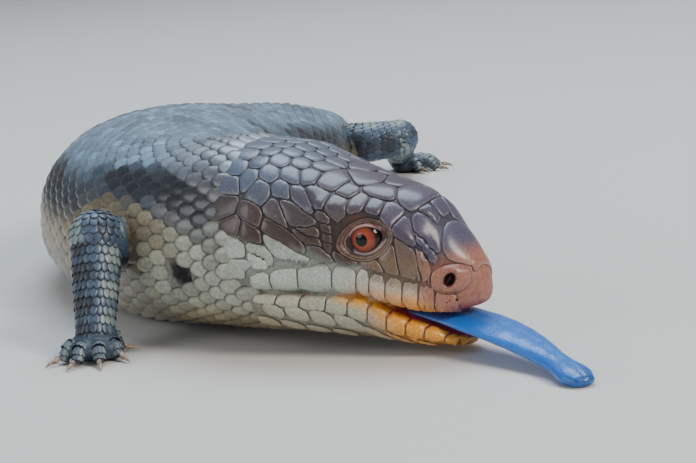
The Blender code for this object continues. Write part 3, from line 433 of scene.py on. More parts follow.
def body_colour(place, angle):
    """Return the colour of neck, trunk and tail by distance and angle from the top."""
    place = np.asarray(place, float)
    turn = np.abs(np.asarray(angle, float))
    around = np.asarray(angle, float) * 26.0
    grain = wave_noise(place, around, 3, 13.0)
    fine = wave_noise(place, around, 5, 6.0)
    blotch = wave_noise(place, around * 0.9, 11, 30.0)
    # The back's pale blue is partly pale marking and partly painted sky reflection.
    back = mix(BACK_GREY, BACK_PALE_AND_SHEEN, 0.45 + 0.35 * grain + 0.25 * fine)
    back = mix(back, BACK_DARK, 0.75 * step_between(0.15, 0.75, blotch) * step_between(95, 135, place))
    band_height = np.interp(place, BAND_PLACES, BAND_TURNS) + 0.05 * grain
    band_wide = np.interp(place, (52.0, 66.0, 80.0, 110.0), (0.20, 0.26, 0.20, 0.26))
    band = np.exp(-((turn - band_height) / band_wide) ** 4)
    band = band * step_between(51, 57, place) * (0.80 + 0.20 * step_between(-0.5, 0.1, blotch))
    band = band * (1.0 - 0.5 * step_between(250, 300, place))
    stripe = np.exp(-((turn - band_height - band_wide - 0.20) / 0.17) ** 4) * step_between(60, 70, place)
    flank = mix(FLANK_TAN, BELLY_PALE, 0.30 + 0.3 * grain + step_between(1.75, 2.15, turn))
    flank = mix(flank, BACK_DARK, 0.85 * step_between(0.35, 0.8, wave_noise(place, around, 23, 24.0))
                * step_between(92, 108, place))
    colour = mix(back, flank, step_between(1.22, 1.42, turn))
    colour = mix(colour, FLANK_TAN, step_between(0.0, 0.25, turn - band_height) * step_between(66, 76, place)
                 * (1.0 - step_between(1.3, 1.6, turn)))
    nape = mix((0.17, 0.20, 0.26), (0.30, 0.36, 0.42), 0.5 + 0.5 * grain)
    nape = mix(nape, HEAD_BROWN, 0.7 * step_between(0.5, 1.05, turn) * (1.0 - step_between(62, 76, place)))
    cheek = mix(NECK_PALE, THROAT_TAN, step_between(2.0, 2.55, turn) + 0.2 * grain)
    cheek = mix(cheek, (0.17, 0.17, 0.14), 0.35 * step_between(0.1, 0.9, fine))
    front = mix(nape, cheek, step_between(1.16, 1.40, turn))
    colour = mix(front, colour, step_between(66, 78, place))
    colour = mix(colour, (0.30, 0.235, 0.125), stripe * 0.85)
    return mix(colour, BAND_DARK, band)


# The upper lip's edge: distances behind the snout and heights.
LIP_PLACES = (1.3, 5.5, 12.0, 18.0, 24.0, 34.5, 46.0)
LIP_LEVELS = (10.8, 9.6, 10.0, 11.5, 13.5, 14.2, 14.7)


def head_colour(place, height, top):
    """Return the colour of the upper head by distance and height in mm."""
    place = np.asarray(place, float)
    height = np.asarray(height, float)
    crown = mix(HEAD_BROWN, HEAD_MAUVE, 1.0 - step_between(8, 26, place))
    crown = mix(crown, (0.105, 0.100, 0.155), step_between(-9, -1, height - top) * 0.6)
    crown = mix(crown, (0.12, 0.16, 0.24), step_between(28, 48, place) * step_between(-12, -3, height - top))
    lip_line = np.interp(place, LIP_PLACES, LIP_LEVELS)
    rise = height - lip_line
    lip = mix(LIP_ORANGE, LIP_CREAM, step_between(12, 30, place))
    lip = mix(lip, LIP_CREAM, step_between(2.0, 4.6, rise) * step_between(4, 12, place) * 0.75)
    lip = mix(lip, SNOUT_SALMON, 1.0 - step_between(4.0, 8.5, place))
    band = 5.6 + 0.8 * step_between(6, 14, place) + 3.0 * step_between(27, 35, place)
    colour = mix(lip, crown, step_between(band, band + 1.3, rise))
    lore = step_between(8, 10, place) * (1.0 - step_between(20, 23, place))
    lore = lore * step_between(4.2, 5.4, rise) * (1.0 - step_between(10.0, 11.5, rise))
    colour = mix(colour, (0.26, 0.16, 0.075), lore * 0.85)
    nose = (1.0 - step_between(5.5, 9.5, np.hypot(place - 4.0, (height - 15.5) * 1.1)))
    colour = mix(colour, SNOUT_SALMON, nose)
    # A dark red-brown band under the brow ridge is painted shade from the overhanging brow.
    under_brow_shade = np.exp(-(segment_distance(place, height, (14.5, 25.0), (25.0, 30.0)) / 1.2) ** 2)
    return mix(colour, (0.20, 0.060, 0.018), under_brow_shade * 0.9)


def jaw_colour(place, height, lip):
    """Return the colour of the lower jaw by distance and depth under the lip."""
    place = np.asarray(place, float)
    drop = np.asarray(lip) - np.asarray(height)
    cream = step_between(15, 25, place) * step_between(0.4, 2.4, drop) + step_between(25, 32, place)
    colour = mix(CHIN_ORANGE, CHIN_CREAM, cream)
    colour = mix(colour, THROAT_TAN, step_between(5.0, 11.0, drop) * step_between(14, 34, place))
    return mix(colour, THROAT_TAN, 0.85 * step_between(36, 48, place) * step_between(2.0, 6.0, drop))


def limb_colour(along, angle, seed):
    """Return the colour of legs and toes by distance along and angle round them."""
    stripe = np.sin(np.asarray(angle) * 2.0 + 0.6 + seed) + 0.35 * np.sin(along * 0.9 + seed)
    colour = mix(LEG_SLATE, LEG_DARK, step_between(0.25, 0.95, stripe))
    return mix(colour, LEG_PALE, 0.8 * step_between(0.45, 1.05, -stripe))


# Making meshes

def new_mesh_object(name, points, faces):
    data = bpy.data.meshes.new(name)
    data.from_pydata([tuple(point) for point in points], [], [tuple(face) for face in faces])
    data.update()
    data.shade_smooth()
    obj = bpy.data.objects.new(name, data)
    bpy.context.scene.collection.objects.link(obj)
    return obj


def read_points(items, key="co"):
    """Read one vector from each of a mesh's vertices or an attribute's values."""
    values = np.zeros(len(items) * 3)
    items.foreach_get(key, values)
    return values.reshape(-1, 3)


def ring_faces(rows, count, closed=True):
    """Faces between rings of points, with a hub at each end where closed."""
    faces = []
    for r in range(rows - 1):
        for i in range(count):
            j = (i + 1) % count
            faces.append((r * count + i, r * count + j, (r + 1) * count + j, (r + 1) * count + i))
    if closed:
        first = rows * count
        last = first + 1
        for i in range(count):
            j = (i + 1) % count
            faces.append((j, i, first))
            faces.append(((rows - 1) * count + i, (rows - 1) * count + j, last))
    return faces


def closed_loft(rings):
    """Turn rings of plan points into points and faces of a closed form."""
    rings = [np.asarray(ring) for ring in rings]
    count = len(rings[0])
    points = np.concatenate(rings + [rings[0].mean(axis=0)[None], rings[-1].mean(axis=0)[None]])
    return points, ring_faces(len(rings), count)


def turn_outward(obj):
    mesh = bmesh.new()
    mesh.from_mesh(obj.data)
    bmesh.ops.recalc_face_normals(mesh, faces=mesh.faces)
    if mesh.calc_volume(signed=True) < 0.0:
        bmesh.ops.reverse_faces(mesh, faces=mesh.faces)
    mesh.to_mesh(obj.data)
    mesh.free()


def length_rings(length, start, end, step, sides, grow):
    """Rings round a length, a step apart."""
    angles = circle(sides)
    angles = np.where(angles > math.pi, angles - 2.0 * math.pi, angles)
    return [length.point(np.full(sides, place), angles, grow, 0.0)
            for place in np.linspace(start, end, max(2, int((end - start) / step) + 1))]


def tube_rings(points, widths, depths, sides, steps=4):
    """Rings along a path in mm with rounded ends."""
    points = np.asarray(points, float)
    turns = np.linspace(0.0, math.pi / 2.0, steps + 1)[1:] * 0.94
    angle = circle(sides)
    rings = []
    last = len(points) - 1
    for i, point in enumerate(points):
        way = points[min(i + 1, last)] - points[max(i - 1, 0)]
        way = way / np.linalg.norm(way)
        side, lift = side_and_lift(way)
        ends = [(0.0, 1.0)]
        if i == 0:
            ends = [(-math.sin(t), math.cos(t)) for t in turns[::-1]] + ends
        if i == last:
            ends = ends + [(math.sin(t), math.cos(t)) for t in turns]
        for ahead, share in ends:
            centre = point + way * ahead * depths[i]
            rings.append(centre + np.outer(np.sin(angle) * widths[i] * share, side)
                         + np.outer(np.cos(angle) * depths[i] * share, lift))
    return rings


def curve_points(points, values, steps):
    """Return a smooth path through the points in even steps, and the values carried along it."""
    points = np.array(points, float)
    lengths = path_lengths(points)
    at = np.linspace(0.0, lengths[-1], steps)
    path = np.stack([smooth_curve(lengths, points[:, i], at) for i in range(3)], axis=1)
    return path, [smooth_curve(lengths, column, at) for column in np.array(values, float).T]


def limb_parts(name, grow=0.0):
    """Return the tubes of a limb: the two lengths, the ankle and each toe, with radii in mm."""
    path, radii, (heading, reach), tips = LIMBS[name]
    root, middle, elbow, wrist = [np.array(point) for point in path]
    parts = [("upper", *curve_points((root, middle, elbow), [[r + grow] for r in radii[:3]], 14))]
    half_way = elbow * 0.5 + wrist * 0.5
    sizes = [[radii[2] * 0.97 + grow], [radii[2] * 0.5 + radii[3] * 0.5 + grow], [radii[3] + grow]]
    parts.append(("lower", *curve_points((elbow, half_way, wrist), sizes, 12)))
    way = (wrist - elbow) / np.linalg.norm(wrist - elbow)
    ankle = [wrist, wrist + way * 2.0, wrist + way * 4.0]
    parts.append(("ankle", *curve_points(ankle, [[radii[3] + grow], [radii[3] + grow],
                                                 [radii[3] * 0.95 + grow]], 5)))
    for i, tip in enumerate(tips):
        tip = np.array([tip[0], tip[1], 1.0])
        toe_root = (np.array([wrist[0], wrist[1], 2.4]) * 0.78 + np.array([tip[0], tip[1], 2.4]) * 0.22)
        aim = (tip - toe_root) / np.linalg.norm(tip - toe_root)
        claw_root = tip - aim * CLAW_LENGTH
        bend = toe_root * 0.45 + claw_root * 0.55 + np.array([0.0, 0.0, 1.5])
        end = claw_root - aim * TOE_RADII[2] * 0.95
        end[2] = TOE_RADII[2] * 0.9
        toe = curve_points((toe_root, bend, end), [[r + grow] for r in TOE_RADII], 9)
        parts.append(("toe_%d" % (i + 1), *toe))
    ahead = np.array([math.cos(math.radians(heading)), math.sin(math.radians(heading)), 0.0])
    knuckles = np.array([wrist[0], wrist[1], 2.2]) + ahead * reach
    pad_centre = np.array([wrist[0], wrist[1], 2.4]) * 0.45 + knuckles * 0.55
    pad = (pad_centre, ahead, (reach * 0.5 + 3.2 + grow, radii[3] * 1.35 + grow, 3.3 + grow))
    return parts, pad


def store_points(obj, name, kind, values):
    layer = obj.data.attributes.new(name, kind, "POINT")
    key = "color" if kind == "FLOAT_COLOR" else "vector" if kind == "FLOAT_VECTOR" else "value"
    layer.data.foreach_set(key, np.asarray(values, np.float32).ravel())


def colour_points(obj, name, colours):
    colours = np.asarray(colours)
    full = np.concatenate([colours, np.ones((len(colours), 1))], axis=1)
    store_points(obj, name, "FLOAT_COLOR", full)


# Surface finishes

def node(tree, kind, place=(0, 0), **values):
    """Add a node: a key that starts with _ sets a property, and any other sets an input."""
    made = tree.nodes.new(kind)
    made.location = place
    for key, value in values.items():
        if key.startswith("_"):
            setattr(made, key[1:], value)
        else:
            made.inputs[key.replace("_", " ")].default_value = value
    return made


def join(tree, *wires):
    """Wire nodes together: each wire is a node, its output, the next node and its input."""
    for start, output, end, entry in wires:
        tree.links.new(start.outputs[output], end.inputs[entry])


def start_material(name, **values):
    """Return a new material, its tree and its shader, with the shader's inputs set."""
    material = bpy.data.materials.new(name)
    material.use_nodes = True
    shader = material.node_tree.nodes["Principled BSDF"]
    for key, value in values.items():
        shader.inputs[key.replace("_", " ")].default_value = value
    return material, material.node_tree, shader


def set_ramp(ramp, first, last, between=()):
    """Give a colour ramp its two end stops and those between, each as a place and a colour."""
    stops = ramp.color_ramp.elements
    for i, (place, tint) in enumerate((first, last)):
        stops[i].position = place
        stops[i].color = (*tint, 1.0)
    for place, tint in between:
        stops.new(place).color = (*tint, 1.0)


def dim(colour, share):
    return [part * share for part in colour]


# Dark joints, also used as painted shade under overlapping scale edges.
JOINT_DARK_AND_SHADE = (0.02, 0.016, 0.016, 1.0)


def scaly_material(name, roughness, speckle, speckle_size, bump, coat, rim=(0.5, 0.45, 0.42, 1.0),
                   rim_highlight_share=0.0, joint_shade_from=0.90):
    """Skin or scale finish: the marking colour, fine specks, dark joints that are partly painted shade, and
    pale rims that are painted highlights.
    """
    material, tree, shader = start_material(
        name, Roughness=roughness, Coat_Weight=coat, Coat_Roughness=0.22, Subsurface_Weight=0.06,
        Subsurface_Radius=(0.002, 0.001, 0.0006), Subsurface_Scale=0.5)
    # The colour attribute holds the markings together with painted shade and painted sky reflection.
    marking = node(tree, "ShaderNodeAttribute", (-1200, 300), _attribute_name="marking")
    where = node(tree, "ShaderNodeTexCoord", (-1400, 0))
    specks = node(tree, "ShaderNodeTexNoise", (-1200, 0), Scale=speckle_size, Detail=3.0, Roughness=0.6)
    ramp = node(tree, "ShaderNodeValToRGB", (-1000, 0))
    set_ramp(ramp, (0.40, (0.0, 0.0, 0.0)), (0.62, (1.0, 1.0, 1.0)))
    darker = node(tree, "ShaderNodeMix", (-800, 200), _data_type="RGBA", _blend_type="MULTIPLY",
                  Factor=speckle)
    edge = node(tree, "ShaderNodeAttribute", (-1200, -300), _attribute_name="edge")
    # Pale rims near the edges of plates and scales are painted highlights.
    pale = node(tree, "ShaderNodeMapRange", (-1000, -250), From_Min=0.70, From_Max=0.88, To_Max=rim_highlight_share)
    highlighted = node(tree, "ShaderNodeMix", (-600, 200), _data_type="RGBA", B=rim)
    # Darkening toward each edge is partly the dark joint and partly painted shade under overlapping free
    # edges.
    dark = node(tree, "ShaderNodeMapRange", (-1000, -500), From_Min=joint_shade_from, From_Max=1.0, To_Max=0.85)
    jointed = node(tree, "ShaderNodeMix", (-400, 200), _data_type="RGBA", B=JOINT_DARK_AND_SHADE)
    grain = node(tree, "ShaderNodeTexNoise", (-800, -400), Scale=speckle_size * 0.45, Detail=4.0)
    bumps = node(tree, "ShaderNodeBump", (-400, -300), Strength=bump, Distance=0.0002)
    rough = node(tree, "ShaderNodeMapRange", (-400, -600), To_Min=roughness - 0.08,
                 To_Max=roughness + 0.14)
    join(tree,
         (where, "Object", specks, "Vector"), (specks, "Fac", ramp, "Fac"),
         (marking, "Color", darker, "A"), (ramp, "Color", darker, "B"),
         (edge, "Fac", pale, "Value"), (pale, "Result", highlighted, "Factor"),
         (darker, "Result", highlighted, "A"), (edge, "Fac", dark, "Value"),
         (dark, "Result", jointed, "Factor"), (highlighted, "Result", jointed, "A"),
         (jointed, "Result", shader, "Base Color"), (where, "Object", grain, "Vector"),
         (grain, "Fac", bumps, "Height"), (bumps, "Normal", shader, "Normal"),
         (specks, "Fac", rough, "Value"), (rough, "Result", shader, "Roughness"))
    return material


def finish_piece(obj, material, replaced=()):
    """Paint a finished piece and tell the frame where it belongs and what it stands in for."""
    obj.data.materials.clear()
    obj.data.materials.append(material)
    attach(obj, "root")
    if replaced:
        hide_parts(*replaced)


# Scales that repeat

# How far scales stay above the floor in m, and how much of the unwrap one scale takes.
FLOOR_GAP = 0.00003
PATCH_SIZE = 0.003
# How deep under the skin's surface the trunk's scales have their roots, and how far they are raised.
SCALE_BED = -0.25
SCALE_RISE = 0.06


def scale_shape(name, corners, square, dome, lift):
    """Make one scale: X across, Y toward the tail with its free edge there, Z outward."""
    outline = []
    for angle in circle(corners):
        c, s = math.cos(angle), math.sin(angle)
        power = 2.0 / (square if s > 0 else 3.2)
        outline.append((math.copysign(abs(c) ** power, c) * 0.5, math.copysign(abs(s) ** power, s) * 0.5))
    points = []
    edges = []
    for share, high, mark in ((0.94, -0.28, 1.0), (1.0, 0.0, 0.99), (0.88, 0.55, 0.86), (0.55, 0.9, 0.35)):
        for x, y in outline:
            tip = y * share + 0.5
            z = high * dome * (0.35 + 0.65 * tip) + lift * (tip - 0.42)
            points.append((x * share, y * share, z - 0.5 * dome * (x * share * 2.0) ** 2))
        edges += [mark] * corners
    rows = len(points) // corners
    points += [(0.0, 0.0, -0.3 * dome - 0.04), (0.0, 0.0, dome * 0.68 + lift * 0.08)]
    shape = new_mesh_object(name, points, ring_faces(rows, corners))
    turn_outward(shape)
    store_points(shape, "edge", "FLOAT", edges + [1.0, 0.0])
    store_points(shape, "patch", "FLOAT_VECTOR", [(x + 0.5, y + 0.5, 0.0) for x, y, _ in points])
    return shape


def cover_tree(name):
    """Geometry Nodes: one scale on each point, turned and sized by the point's own values."""
    tree = bpy.data.node_groups.new(name, "GeometryNodeTree")
    tree.is_modifier = True
    for label, kind, value in (("Geometry", "Geometry", None), ("Scale Shape", "Object", None),
                               ("Scale Material", "Material", None), ("Swell", "Float", 1.0),
                               ("Tilt", "Float", 0.04), ("Seed", "Int", 4)):
        socket = tree.interface.new_socket(label, in_out="INPUT", socket_type="NodeSocket" + kind)
        if value is not None:
            socket.default_value = value
    tree.interface.new_socket("Geometry", in_out="OUTPUT", socket_type="NodeSocketGeometry")
    given = node(tree, "NodeGroupInput", (-1200, 0))
    shape = node(tree, "GeometryNodeObjectInfo", (-900, 200), As_Instance=True)
    turn = node(tree, "GeometryNodeInputNamedAttribute", (-900, 0), _data_type="FLOAT_VECTOR", Name="turn")
    size = node(tree, "GeometryNodeInputNamedAttribute", (-900, -200), _data_type="FLOAT_VECTOR",
                Name="size")
    low = node(tree, "ShaderNodeVectorMath", (-900, -400), _operation="SCALE", Vector=(-1.0, -1.0, -0.6))
    high = node(tree, "ShaderNodeVectorMath", (-900, -600), _operation="SCALE", Vector=(1.0, 1.0, 0.6))
    euler = node(tree, "FunctionNodeEulerToRotation", (-600, 0))
    swelled = node(tree, "ShaderNodeVectorMath", (-600, -200), _operation="SCALE")
    chance = node(tree, "FunctionNodeRandomValue", (-600, -400), _data_type="FLOAT_VECTOR")
    laid = node(tree, "GeometryNodeInstanceOnPoints", (-300, 0))
    wobble = node(tree, "GeometryNodeRotateInstances", (0, 0), Local_Space=True)
    real = node(tree, "GeometryNodeRealizeInstances", (300, 0))
    paint = node(tree, "GeometryNodeSetMaterial", (600, 0))
    result = node(tree, "NodeGroupOutput", (900, 0))
    join(tree,
         (given, "Scale Shape", shape, "Object"), (given, "Geometry", laid, "Points"),
         (shape, "Geometry", laid, "Instance"), (turn, "Attribute", euler, "Euler"),
         (euler, "Rotation", laid, "Rotation"), (size, "Attribute", swelled, 0),
         (given, "Swell", swelled, "Scale"), (swelled, "Vector", laid, "Scale"),
         (given, "Tilt", low, "Scale"), (given, "Tilt", high, "Scale"),
         (low, "Vector", chance, "Min"), (high, "Vector", chance, "Max"),
         (given, "Seed", chance, "Seed"), (laid, "Instances", wobble, "Instances"),
         (chance, "Value", wobble, "Rotation"), (wobble, "Instances", real, "Geometry"),
         (real, "Geometry", paint, "Geometry"), (given, "Scale Material", paint, "Material"),
         (paint, "Geometry", result, "Geometry"))
    return tree


def cover_with_scales(name, shape, material, spots, seed, tilt):
    """Lay the scale shape on every spot and return the plain mesh object."""
    base = new_mesh_object(name + "_spots", to_world([spot["at"] for spot in spots]), [])
    turns = [tuple(Matrix(spot["axes"]).transposed().to_euler("XYZ")) for spot in spots]
    store_points(base, "turn", "FLOAT_VECTOR", turns)
    store_points(base, "size", "FLOAT_VECTOR", [np.array(spot["size"]) * MM for spot in spots])
    store_points(base, "root", "FLOAT_VECTOR", [(*spot["root"], 0.0) for spot in spots])
    colour_points(base, "marking", [spot["colour"] for spot in spots])
    tree = cover_tree(name + "_tree")
    modifier = base.modifiers.new("scales", "NODES")
    modifier.node_group = tree
    keys = {item.name: item.identifier for item in tree.interface.items_tree if item.in_out == "INPUT"}
    for label, value in (("Scale Shape", shape), ("Scale Material", material), ("Swell", 1.0),
                         ("Tilt", tilt), ("Seed", seed)):
        modifier[keys[label]] = value
    bpy.context.view_layer.update()
    graph = bpy.context.evaluated_depsgraph_get()
    data = bpy.data.meshes.new_from_object(base.evaluated_get(graph), preserve_all_data_layers=True,
                                           depsgraph=graph)
    obj = bpy.data.objects.new(name, data)
    bpy.context.scene.collection.objects.link(obj)
    bpy.data.objects.remove(base)
    points = read_points(data.vertices)
    points[:, 2] = np.maximum(points[:, 2], FLOOR_GAP)
    data.vertices.foreach_set("co", points.ravel())
    roots = read_points(data.attributes["root"].data, "vector")
    patches = read_points(data.attributes["patch"].data, "vector")
    lay_bake_map(data, (roots + patches * PATCH_SIZE)[:, :2])
    data.shade_smooth()
    data.update()
    return obj


def lay_bake_map(data, flat):
    """Give the mesh the unwrap named OFBake."""
    corners = np.zeros(len(data.loops), np.int32)
    data.loops.foreach_get("vertex_index", corners)
    layer = data.uv_layers.new(name="OFBake")
    layer.data.foreach_set("uv", np.asarray(flat, np.float32)[corners].ravel())


def body_root(place, angle):
    """Where a spot on neck, trunk, tail or head lies on the skin's own unwrap."""
    return 0.02 + 0.68 * place / BODY_END, 0.5 + 0.46 * angle / math.pi


def limb_root(order, along, around):
    """Where a spot on one of the four limbs lies on the skin's own unwrap."""
    return 0.74 + 0.05 * order + along, around


def body_spots(start, end, long_size, wide_count, covers):
    """List scales in rings round the body, each ring shifted by half a scale."""
    spots = []
    place = start
    row = 0
    while place < end:
        size = long_size(place)
        count = wide_count(place)
        arcs = BODY.around(place)
        wide = arcs / count
        steps = (np.arange(count) + 0.5 * (row % 2)) / count
        along = np.where(steps > 0.5, steps - 1.0, steps) * arcs
        places = np.full(count, place)
        angles = BODY.angle_of(places, along)
        points, back, across, out = BODY.frame_at(places, angles, SCALE_BED)
        for i in np.nonzero(covers(places, angles) & (points[:, 2] >= 0.10))[0]:
            spots.append({
                "at": points[i] + out[i] * SCALE_RISE,
                "axes": (Vector(across[i]), Vector(back[i]), Vector(out[i])),
                "size": (wide * 1.16, size * 1.72, (wide + size) * 0.5),
                "place": float(place), "angle": float(angles[i]),
                "root": body_root(place, angles[i]),
            })
        place += size
        row += 1
    return spots


# Settings a user would change

class SkinkSettings(bpy.types.PropertyGroup):
    skin_fineness: FloatProperty(name="Skin fineness", description="Size of the faces of the skin",
                                 default=0.00095, min=0.0005, max=0.004, unit="LENGTH", subtype="DISTANCE")
    skin_depth: FloatProperty(name="Skin depth", description="How far the skin lies under the scales",
                              default=0.00035, min=0.0, max=0.001, unit="LENGTH", subtype="DISTANCE")
    scale_rows: IntProperty(name="Scales round the trunk", description="Number of scales in one ring",
                            default=38, min=20, max=60)
    scale_tilt: FloatProperty(name="Scale tilt", description="Uneven lie of the scales",
                              default=0.035, min=0.0, max=0.2, unit="ROTATION", subtype="ANGLE")
    tongue_colour: FloatVectorProperty(name="Tongue colour", description="Colour of the tongue",
                                       default=(0.010, 0.165, 0.62), subtype="COLOR", min=0.0, max=1.0)
    iris_colour: FloatVectorProperty(name="Iris colour", description="Colour of the iris",
                                     default=(0.34, 0.070, 0.035), subtype="COLOR", min=0.0, max=1.0)
    floor_colour: FloatVectorProperty(name="Floor colour", description="Colour of the floor",
                                      default=(0.70, 0.68, 0.65), subtype="COLOR", min=0.0, max=1.0)


class SKINK_OT_skin(bpy.types.Operator):
    """Grow one skin over head, jaw, body and limbs"""

    bl_idname = "skink.skin"
    bl_label = "Skin"

    def execute(self, context):
        settings = context.scene.skink
        grow = -settings.skin_depth / MM
        forms = [closed_loft(length_rings(HEAD, HEAD_START, HEAD_END, 0.8, 96, grow)),
                 closed_loft(length_rings(BODY, HEAD_END - 1.2, BODY_END, 1.6, 110, grow)),
                 closed_loft(length_rings(JAW, 4.5, HEAD_END + 1.0, 0.9, 72, grow))]
        angle = circle(24)
        for name in LIMBS:
            parts, (centre, ahead, (long, wide, high)) = limb_parts(name, grow * 0.6)
            for _, path, (sizes,) in parts:
                forms.append(closed_loft(tube_rings(path, sizes, sizes, 28)))
            side = np.cross(ahead, (0.0, 0.0, 1.0))
            rings = []
            for t in np.linspace(0.05, math.pi - 0.05, 15):
                rings.append(centre - ahead * math.cos(t) * long + math.sin(t)
                             * (np.outer(np.sin(angle) * wide, side)
                                + np.outer(np.cos(angle) * high, (0.0, 0.0, 1.0))))
            forms.append(closed_loft(rings))
        faces = []
        base = 0
        for form_points, form_faces in forms:
            faces += [tuple(index + base for index in face) for face in form_faces]
            base += len(form_points)
        points = np.concatenate([form_points for form_points, _ in forms])
        points[:, 2] = np.maximum(points[:, 2], 0.02)
        skin = new_mesh_object("skin", to_world(points), faces)
        remesh = skin.modifiers.new("one_skin", "REMESH")
        remesh.mode = "VOXEL"
        remesh.voxel_size = settings.skin_fineness
        smooth = skin.modifiers.new("relax", "SMOOTH")
        smooth.factor = 0.5
        smooth.iterations = 2
        bpy.context.view_layer.update()
        seen = skin.evaluated_get(context.evaluated_depsgraph_get())
        data = bpy.data.meshes.new_from_object(seen)
        skin.modifiers.clear()
        skin.data = data
        data.shade_smooth()
        self.sink_holes(skin)
        self.colour(skin)
        finish_piece(skin, scaly_material("skin_finish", 0.5, 0.3, 1400.0, 0.3, 0.1),
                     FLESH_NODES)
        return {"FINISHED"}

    def sink_holes(self, skin):
        """Press the skin in behind the nostrils and in the cups of the ears."""
        points = read_points(skin.data.vertices)
        for length, (place, height), reach, depth in ((HEAD, NOSTRIL, 2.0, 2.6), (BODY, EAR, 2.6, 3.4)):
            angle = length.angle_of(place, arc_at_height(length, place, height))
            for sign in (1.0, -1.0):
                at, *_, out = length.frame_at(np.array([place]), angle * sign, 0.0)
                away = (points - to_world(at[0])) / MM
                away = away - out[0] * np.sum(away * out[0], axis=1)[:, None] * 0.6
                share = np.exp(-(np.linalg.norm(away, axis=1) / reach) ** 4)
                points = points - out[0] * (share * depth * MM)[:, None]
        skin.data.vertices.foreach_set("co", points.ravel())
        skin.data.update()

    def colour(self, skin):
        """Paint the markings on the skin from where each point lies on the animal, with painted shade in the
        ear openings and on the skin under the scales.
        """
        points = (read_points(skin.data.vertices) - SHIFT) / MM
        height = points[:, 2]
        place, side = along_spine(points, np.arange(0.0, BODY_END, 1.0))
        half, top, bottom, level = BODY.read(np.maximum(place, HEAD_END))[:4]
        depth = np.where(height > level, top - level, level - bottom)
        angle = np.arctan2(side / half, (height - level) / depth)
        colours = body_colour(place, angle)
        lip = np.interp(place, *MOUTH_LINE)
        front = np.where((height > lip + 0.5)[:, None], head_colour(place, height, HEAD.read(place)[1]),
                         jaw_colour(place, height, lip))
        colours = np.where((place < HEAD_END)[:, None], front, colours)
        upright = np.abs(read_points(skin.data.vertices, "normal")[:, 2])
        roof = np.interp(place, LIP_PLACES, LIP_LEVELS)
        in_mouth = (place < HEAD_END - 0.5) & (height > lip - 0.9) & (height < roof + 0.8) & (upright > 0.6)
        colours = np.where(in_mouth[:, None], np.array([MOUTH_RED]), colours)
        # The ear opening is darkened as painted shade in its recess.
        cup = np.hypot((place - EAR[0]) / 2.3, (height - EAR[1]) / 3.1)
        colours = mix(colours, EAR_SHADE, 1.0 - step_between(0.85, 1.15, cup))
        on_limb = ~inside_body(points, 2.0) & (place > 60.0) & (np.abs(side) > half + 1.0)
        colours = np.where(on_limb[:, None], np.array([LEG_SLATE]), colours)
        # The skin under the scales and plates is dimmed to 0.55 of its colour as painted shade between them;
        # the snout tip keeps 0.95 and the mouth 0.9.
        shade = 0.55 + 0.4 * (1.0 - step_between(3.5, 6.0, place))
        colour_points(skin, "marking", colours * np.where(in_mouth, 0.9, shade)[:, None])
        store_points(skin, "edge", "FLOAT", np.zeros(len(points)))


# Where the tail's rings get fewer scales, and where the front run of scales ends.
TAIL_START = 262.0
FRONT_END = 150.0


class SKINK_OT_body_scales(bpy.types.Operator):
    """Lay overlapping scales over neck, trunk and tail"""

    bl_idname = "skink.body_scales"
    bl_label = "Body scales"

    def execute(self, context):
        settings = context.scene.skink
        rows = settings.scale_rows
        shape = scale_shape("scale_shape", 12, 2.2, 0.14, 0.30)
        # The scales' wide dark edges are partly dark joints and partly painted shade where the scales
        # overlap.
        material = scaly_material("body_scale_finish", 0.32, 0.30, 1300.0, 0.25, 0.45,
                                  rim=(0.42, 0.44, 0.44, 1.0), rim_highlight_share=0.05, joint_shade_from=0.62)

        def long_size(place):
            return float(np.interp(place, [48, 70, 100, 140, 240, 300, 360, 412],
                                   [3.6, 3.3, 3.6, 4.2, 4.2, 3.9, 3.2, 2.2]))

        def wide_count(place):
            if place < TAIL_START:
                return rows
            return int(round(np.interp(place, [TAIL_START, 320, 360, 395, 412], [rows - 8, 24, 18, 12, 8])))

        ear_turn = float(BODY.angle_of(EAR[0], arc_at_height(BODY, EAR[0], EAR[1])))

        def not_on_head(places, angles):
            turn = np.abs(angles)
            start = np.interp(turn, [0.0, 0.7, 1.1, 1.5, 1.9, math.pi],
                              [55.0, 54.0, 52.0, 49.0, 47.0, 47.0])
            gap = np.hypot((places - EAR[0]) / 2.6, (turn - ear_turn) * 21.0 / 3.6)
            return (places >= start) & (gap > 1.0)

        spots = body_spots(47.2, 412.0, long_size, wide_count, not_on_head)
        front = [spot for spot in spots if spot["place"] < FRONT_END]
        rear = [spot for spot in spots if spot["place"] >= FRONT_END]
        chance = np.random.default_rng(8)
        for name, spots, seed in (("front_scales", front, 4), ("rear_scales", rear, 9)):
            colours = body_colour([s["place"] for s in spots], [s["angle"] for s in spots])
            shade = chance.uniform(0.70, 1.22, (len(spots), 1))
            for spot, colour in zip(spots, colours * shade):
                spot["colour"] = np.clip(colour, 0.0, 1.0)
            obj = cover_with_scales(name, shape, material, spots, seed, settings.scale_tilt)
            finish_piece(obj, material)
        bpy.data.objects.remove(shape)
        return {"FINISHED"}


